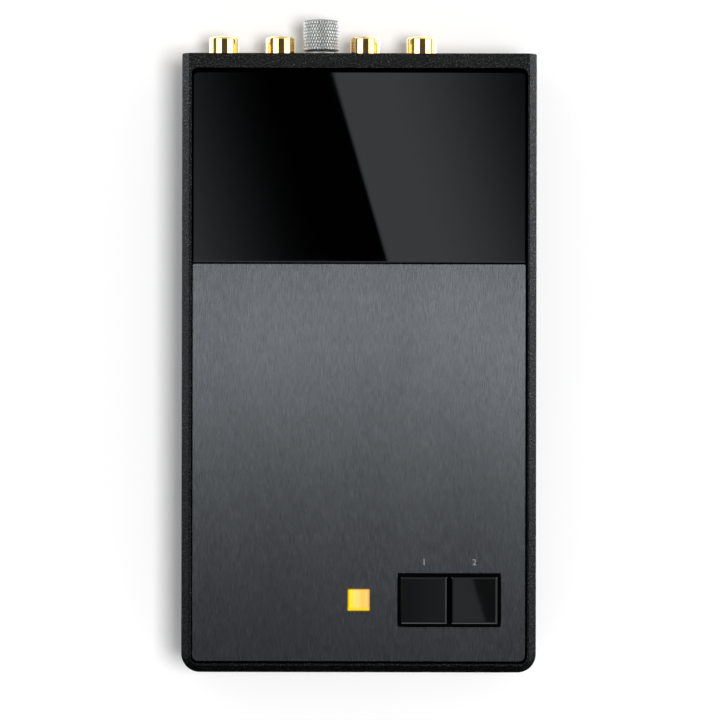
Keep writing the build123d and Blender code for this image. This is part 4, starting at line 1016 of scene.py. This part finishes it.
def countersunk_screw():
    """Flat screw with a hexagonal socket, its face at the origin and pointing down."""
    head = FLAT_HEAD_RADIUS
    line = [
        (0.0, HEX_DEPTH),
        (HEX_WALL, HEX_DEPTH),
        (HEX_WALL, 0.1 * MM),
        (HEX_MOUTH, 0.0),
        (head - 0.08 * MM, 0.0),
        (head, 0.08 * MM),
        (SCREW_RADIUS, head - SCREW_RADIUS),
        (SCREW_RADIUS, 9.0 * MM),
        (0.0, 9.0 * MM),
    ]
    return lathe("countersunk_screw", line, ORIGIN, 48, 35.0, upright=True)


rearward, upward = (0.0, 1.0, 0.0), (0.0, 0.0, 1.0)
node = "rear_panel_screws"
low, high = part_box(node)
places = [
    (x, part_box("rear_panel")[1].y, z)
    for x in spaced(low.x, high.x, PAN_HEAD_RADIUS)
    for z in spaced(low.z, high.z, PAN_HEAD_RADIUS)
]
set_out("panel_screws", node, pan_head_screw(), places, "screw_black", rearward, 3)


# ---- Underside ----


def places_below(node, inset, rows=2):
    """Places under a node in two columns, an inset inside its box."""
    low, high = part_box(node)
    steps = spaced(low.y, high.y, inset, rows)
    return [(x, y, low.z) for x in spaced(low.x, high.x, inset) for y in steps]


places = places_below("cover_screws", FLAT_HEAD_RADIUS, 3)
set_out("base_screws", "cover_screws", countersunk_screw(), places, "screw_black", upward, 5)
faced("bottom_cover", "base_cover", UNDER, 0.15, "cover_coat")

FOOT_RADIUS = 6.0 * MM


def foot():
    """Rubber foot with a rounded edge and a shallow dish in its face."""
    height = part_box("foot_pads")[1].z
    line = [
        (0.0, 0.4 * MM),
        (2.9 * MM, 0.4 * MM),
        (3.3 * MM, 0.0),
        (FOOT_RADIUS, 0.0),
        (FOOT_RADIUS, height),
        (0.0, height),
    ]
    line = rounded(line, {1: 0.3 * MM, 2: 0.25 * MM, 3: 0.8 * MM, 4: 0.15 * MM}, 5)
    return lathe("foot", line, ORIGIN, 72, upright=True)


places = places_below("foot_pads", FOOT_RADIUS)
set_out("feet", "foot_pads", foot(), places, "foot_rubber", upward, 2)

for side in ("left", "right"):
    housing = f"{side}_selector_housing"
    faced(housing, f"{side}_selector", UNDER, 0.12, "selector_moulding")
    for number in range(1, 5):
        node, tip = f"{side}_selector_slider_{number}", f"{side}_slider_tip_{number}"
        faced(node, tip, UNDER, 0.2, "slider_white", f"{side}_slider_{number}")


# ---- Plain printed numbers ----

PRINT_THICKNESS = 0.02 * MM


def printed(name, marks, height, way=1):
    """Numbers of one height as one thin mesh, read from above, or from below where way is -1.

    marks lists each text with the middle of its place.
    """
    bm = bmesh.new()
    for text, place in marks:
        curve = bpy.data.curves.new(name, "FONT")
        curve.body = text
        curve.align_x = curve.align_y = "CENTER"
        curve.extrude = 0.01
        mesh = plain(piece_from(name, curve), name).data
        ys = [vertex.co.y for vertex in mesh.vertices]
        middle_y = (max(ys) + min(ys)) / 2
        scale = height / (max(ys) - min(ys))
        for vertex in mesh.vertices:
            x, y, z = vertex.co
            proud = PRINT_THICKNESS if z > 0 else -PRINT_THICKNESS
            across, along = place[0] + way * x * scale, place[1] + (y - middle_y) * scale
            vertex.co = (across, along, place[2] + way * proud)
        bm.from_mesh(mesh)
        bpy.data.meshes.remove(mesh)
    return piece_of(name, closed(bm), 30.0)


NUMBER_Y = -61.4 * MM
DIGIT_Y = 37.6 * MM
button_marks = [
    (text, (middle(f"{label}_button_cap").x, NUMBER_Y, PLATE_HIGH.z))
    for text, label in (("1", "mono"), ("2", "filter"))
]
numbers = printed("button_numbers", button_marks, 1.7 * MM)
fix(numbers, "brushed_plate")
numbers.data.materials[0] = moulded("grey print", (150, 152, 154), 0.5, 0.05, 8.0)

for side in ("left", "right"):
    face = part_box(f"{side}_selector_housing")[0].z
    marks = [
        (str(number), (middle(f"{side}_selector_slider_{number}").x, DIGIT_Y, face))
        for number in range(1, 5)
    ]
    fix(printed(f"{side}_selector_numbers", marks, 0.9 * MM, -1), "slider_white")


# ---- Nodes that keep their own shape ----

for name, node in NODES.items():
    node.data.materials.clear()
    node.data.materials.append(FINISHES[NODE_SLOTS[name]])


# ---- Floor, light and camera ----

CAMERA_PLACE = (0.27 * MM, -4.55 * MM, 0.885)
CAMERA_ROLL = math.radians(0.109)
LENS_MM = 151.05
FLOOR_REACH = 3.0
FLOOR_GLOW = 0.08
DAYLIGHT = 0.455
KEY_PLACE = Vector((0.25, -0.05, 1.5))
KEY_SIZE = 0.31
KEY_WATTS = 16.3
SKY_HEIGHT = 0.435
SKY_REAR = 0.119
BOARD_HEIGHT = 0.43
BOARD_REACH = 0.60
SIDE_BOARD_X = 0.45
SIDE_BOARD_REAR = 0.10
END_BOARD_Y = 0.80
REAR_BOARD_HEIGHT = 0.30
COOL = (0.935, 1.0, 1.065)
# The sky's straight edges over the glass and the right button: a point in mm and a lean
GLASS_STREAK = (-11.4, 115.1, 23.2 / 79.1)
BUTTON_STREAK = (46.9, -94.1, 5.8 / 19.4)


def glow_material(name):
    """Material that only shines; gives it, its nodes and its output node."""
    material = bpy.data.materials.new(name)
    material.use_nodes = True
    nodes = Nodes(material.node_tree)
    material.node_tree.nodes.remove(material.node_tree.nodes["Principled BSDF"])
    return material, nodes, material.node_tree.nodes["Material Output"]


def seen_by(nodes, *rays):
    """1 for the named kinds of ray, else 0."""
    path = nodes.add("ShaderNodeLightPath").socket.node
    first, *others = [Signal(nodes.tree, path.outputs[f"Is {ray} Ray"]) for ray in rays]
    for other in others:
        first = first.most(other)
    return first


def floor_material():
    """White floor that takes the shadow and shows plain white elsewhere."""
    material, nodes, output = glow_material("white floor")
    paint = nodes.tint(nodes.noise(0.004), (0.86, 0.86, 0.86), (0.90, 0.90, 0.90))
    matt = nodes.add("ShaderNodeBsdfDiffuse", sockets={"Color": paint})
    white = {"Color": (1, 1, 1), "Strength": FLOOR_GLOW}
    shine = nodes.add("ShaderNodeEmission", sockets=white)
    both = nodes.add("ShaderNodeAddShader", sockets={0: matt, 1: shine})
    seen = seen_by(nodes, "Camera", "Glossy", "Transmission")
    mixed = nodes.add("ShaderNodeMixShader", sockets={0: seen, 1: matt, 2: both})
    nodes.tree.links.new(mixed.socket, output.inputs[0])
    return material


def sheet(name, corners, material):
    """Flat four-cornered piece of the studio."""
    mesh = bpy.data.meshes.new(name)
    mesh.from_pydata(corners, [], [(0, 1, 2, 3)])
    mesh.materials.append(material)
    piece = piece_from(name, mesh)
    return piece


def lying(x0, x1, y0, y1, z):
    """Corners of a level sheet."""
    return [(x0, y0, z), (x1, y0, z), (x1, y1, z), (x0, y1, z)]


def standing(x0, y0, x1, y1, z1):
    """Corners of an upright sheet on the floor."""
    z0 = 1.0 * MM
    return [(x0, y0, z0), (x1, y1, z0), (x1, y1, z1), (x0, y0, z1)]


def glossy_board(name, corners, build):
    """Board that only reflections show; build takes its nodes and a place in mm."""
    material, nodes, output = glow_material(name)
    strength = build(nodes, *[part / MM for part in nodes.place()])
    shine = nodes.add("ShaderNodeEmission", sockets={"Color": COOL, "Strength": strength})
    nodes.tree.links.new(shine.socket, output.inputs[0])
    piece = sheet(name, corners, material)
    for ray in ("camera", "diffuse", "transmission", "volume_scatter", "shadow"):
        setattr(piece, f"visible_{ray}", False)


def right_of(x, y, streak):
    """How far to the right of a slanting line a place is, in mm."""
    across, along, lean = streak
    return x + (y - along) * lean - across


def sky(nodes, x, y, z):
    """Overhead board: brighter to the rear, with the straight edges that the gloss shows."""
    from_edge = right_of(x, y, GLASS_STREAK)
    edge = nodes.level(from_edge, -1.0, 1.0)
    shade = (-from_edge - 23.0).most(0.0)
    left = (shade * shade * 1.93e-4).least(0.6)
    right = nodes.level(from_edge, 16.6, 82.8, 1.03, 0.12)
    over_glass = left * (1 - edge) + right * edge
    run = ((y + 165.0) * (1 / 215.0)).most(0.0).least(1.05)
    aside = nodes.level(x, -10.0, 80.0, 0.83, 1.36) * nodes.level(x, -90.0, -10.0, 1.24, 1.0)
    over_plate = (run**3.4 * 2.7 + 0.09) * aside
    over_plate = over_plate + nodes.level(y, -420.0, -300.0, 0.2, 0.0)
    button_edge = nodes.level(right_of(x, y, BUTTON_STREAK), -0.3, 0.3)
    over_left = nodes.level(x, 17.4, 36.4, 0.17, 0.27)
    over_right = (1 - button_edge) * 0.50 + button_edge * 0.09
    split = nodes.level(x, 36.8, 37.6)
    over_buttons = over_left * (1 - split) + over_right * split
    in_glass = nodes.level(y, 34.5, 36.5)
    in_buttons = nodes.band(x, 15.0, 60.0, 1.0) * nodes.band(y, -116.0, -91.0, 1.0)
    far_out = nodes.level(x.size(), 150.0, 320.0, 1.0, 0.35)
    strength = over_plate * (1 - in_glass) + over_glass * in_glass
    return (strength * (1 - in_buttons) + over_buttons * in_buttons) * far_out


def ground(nodes, x, y, z):
    """Board on the floor: bright behind the case and far out at its sides, darker to the front."""
    left = nodes.level(y, -110.0, 90.0, 0.24, 2.6)
    right = nodes.level(y, -110.0, 90.0) ** 2.0 * 5.0 + 0.8
    side = nodes.level(x, -30.0, 30.0)
    far_out = nodes.level(x.size(), 100.0, 220.0, 0.3, 2.6)
    around = (left * (1 - side) + right * side) * far_out
    front = nodes.level(y, -125.0, -95.0)
    behind = nodes.level(y, 83.0, 86.0)
    near_nut = nodes.band(x, -28.0, 6.0, 3.0)
    rear = near_nut * 0.8 + (1 - near_nut) * 2.8
    return around * front * (1 - behind) + rear * behind


def beside(front, rear, bend):
    """Board beside the case, brighter to the rear and dimmer low down."""

    def build(nodes, x, y, z):
        along = nodes.level(y, -130.0, 180.0) ** bend * (rear - front) + front
        far_front = nodes.level(y, -420.0, -220.0, 0.15, 1.0)
        return along * far_front * nodes.level(z, 80.0, 180.0, 0.15, 1.0)

    return build


def ahead(nodes, x, y, z):
    """Front board: dark, with a small bright slit that the buttons' front edges show."""
    slit = nodes.band(x, 0.0, 110.0, 5.0) * nodes.band(z, 98.0, 150.0, 4.0) * 1.8
    return slit + nodes.level(z, 180.0, 260.0, 0.01, 0.05)


def astern(nodes, x, y, z):
    """Rear board, evenly grey."""
    return nodes.level(z, 120.0, 240.0, 0.2, 0.6)


def boards():
    """All boards round the object."""
    wide, end, top = BOARD_REACH, END_BOARD_Y, BOARD_HEIGHT
    side, rear = SIDE_BOARD_X, SIDE_BOARD_REAR
    glossy_board("sky_board", lying(-wide, wide, -end, SKY_REAR, SKY_HEIGHT), sky)
    glossy_board("ground_board", lying(-wide, wide, -end, wide, 0.8 * MM), ground)
    glossy_board("left_board", standing(-side, -end, -side, rear, top), beside(0.48, 12.0, 1.0))
    glossy_board("right_board", standing(side, -end, side, rear, top), beside(2.7, 27.0, 2.2))
    glossy_board("front_board", standing(-wide, -end, wide, -end, top), ahead)
    glossy_board("rear_board", standing(-wide, end, wide, end, REAR_BOARD_HEIGHT), astern)


def studio_world():
    """White surroundings: plain for the eye, weaker as light, with two windows for the gloss."""
    world = bpy.data.worlds.new("studio")
    bpy.context.scene.world = world
    world.use_nodes = True
    nodes = Nodes(world.node_tree)
    background = world.node_tree.nodes["Background"]
    x, y, z = nodes.place("Generated")
    lean = x.math("ARCTAN2", x, z) * (360 / TURN)
    near_rear = nodes.band(y, 0.02, 0.34, 0.03)
    rolled = nodes.band(y, 0.34, 0.86, 0.03) * nodes.band(lean, -62.0, 110.0, 5.0)
    panes = (
        (-90.0, -58.0, 0.16),
        (-58.0, -18.0, 5.0),
        (-18.0, 31.0, 0.07),
        (31.0, 78.0, 4.0),
        (78.0, 95.0, 0.35),
    )
    at_rear = sum(nodes.band(lean, start, end, 3.0) * level for start, end, level in panes)
    around = 0.25 * (1 - near_rear) + near_rear * at_rear + rolled * 0.8
    glossy = seen_by(nodes, "Glossy")
    in_view = seen_by(nodes, "Camera", "Transmission")
    strength = in_view + (1 - in_view) * (glossy * around + (1 - glossy) * DAYLIGHT)
    connect(nodes.tree, (1.0, 1.0, 1.0), background.inputs["Color"])
    connect(nodes.tree, strength, background.inputs["Strength"])


def hung(name, data, place):
    """Lamp or camera at its place."""
    thing = piece_from(name, data)
    thing.location = place
    return thing


def key_light():
    """Broad soft lamp above, a little to the right and to the front."""
    lamp = bpy.data.lights.new("key", "AREA")
    lamp.shape = "SQUARE"
    lamp.size = KEY_SIZE
    lamp.energy = KEY_WATTS
    key = hung("key", lamp, KEY_PLACE)
    key.rotation_euler = (-KEY_PLACE).to_track_quat("-Z", "Y").to_euler()
    key.visible_glossy = False


def camera():
    """Camera straight above the object."""
    view = bpy.data.cameras.new("camera")
    view.sensor_width = 36.0
    view.lens = LENS_MM
    view.clip_start = 0.05
    eye = hung("camera", view, CAMERA_PLACE)
    eye.rotation_euler = (0.0, 0.0, CAMERA_ROLL)
    bpy.context.scene.camera = eye


reach = FLOOR_REACH
sheet("floor", lying(-reach, reach, -reach, reach, 0.0), floor_material())
boards()
studio_world()
key_light()
camera()

scene = bpy.context.scene
scene.view_settings.view_transform = "Standard"
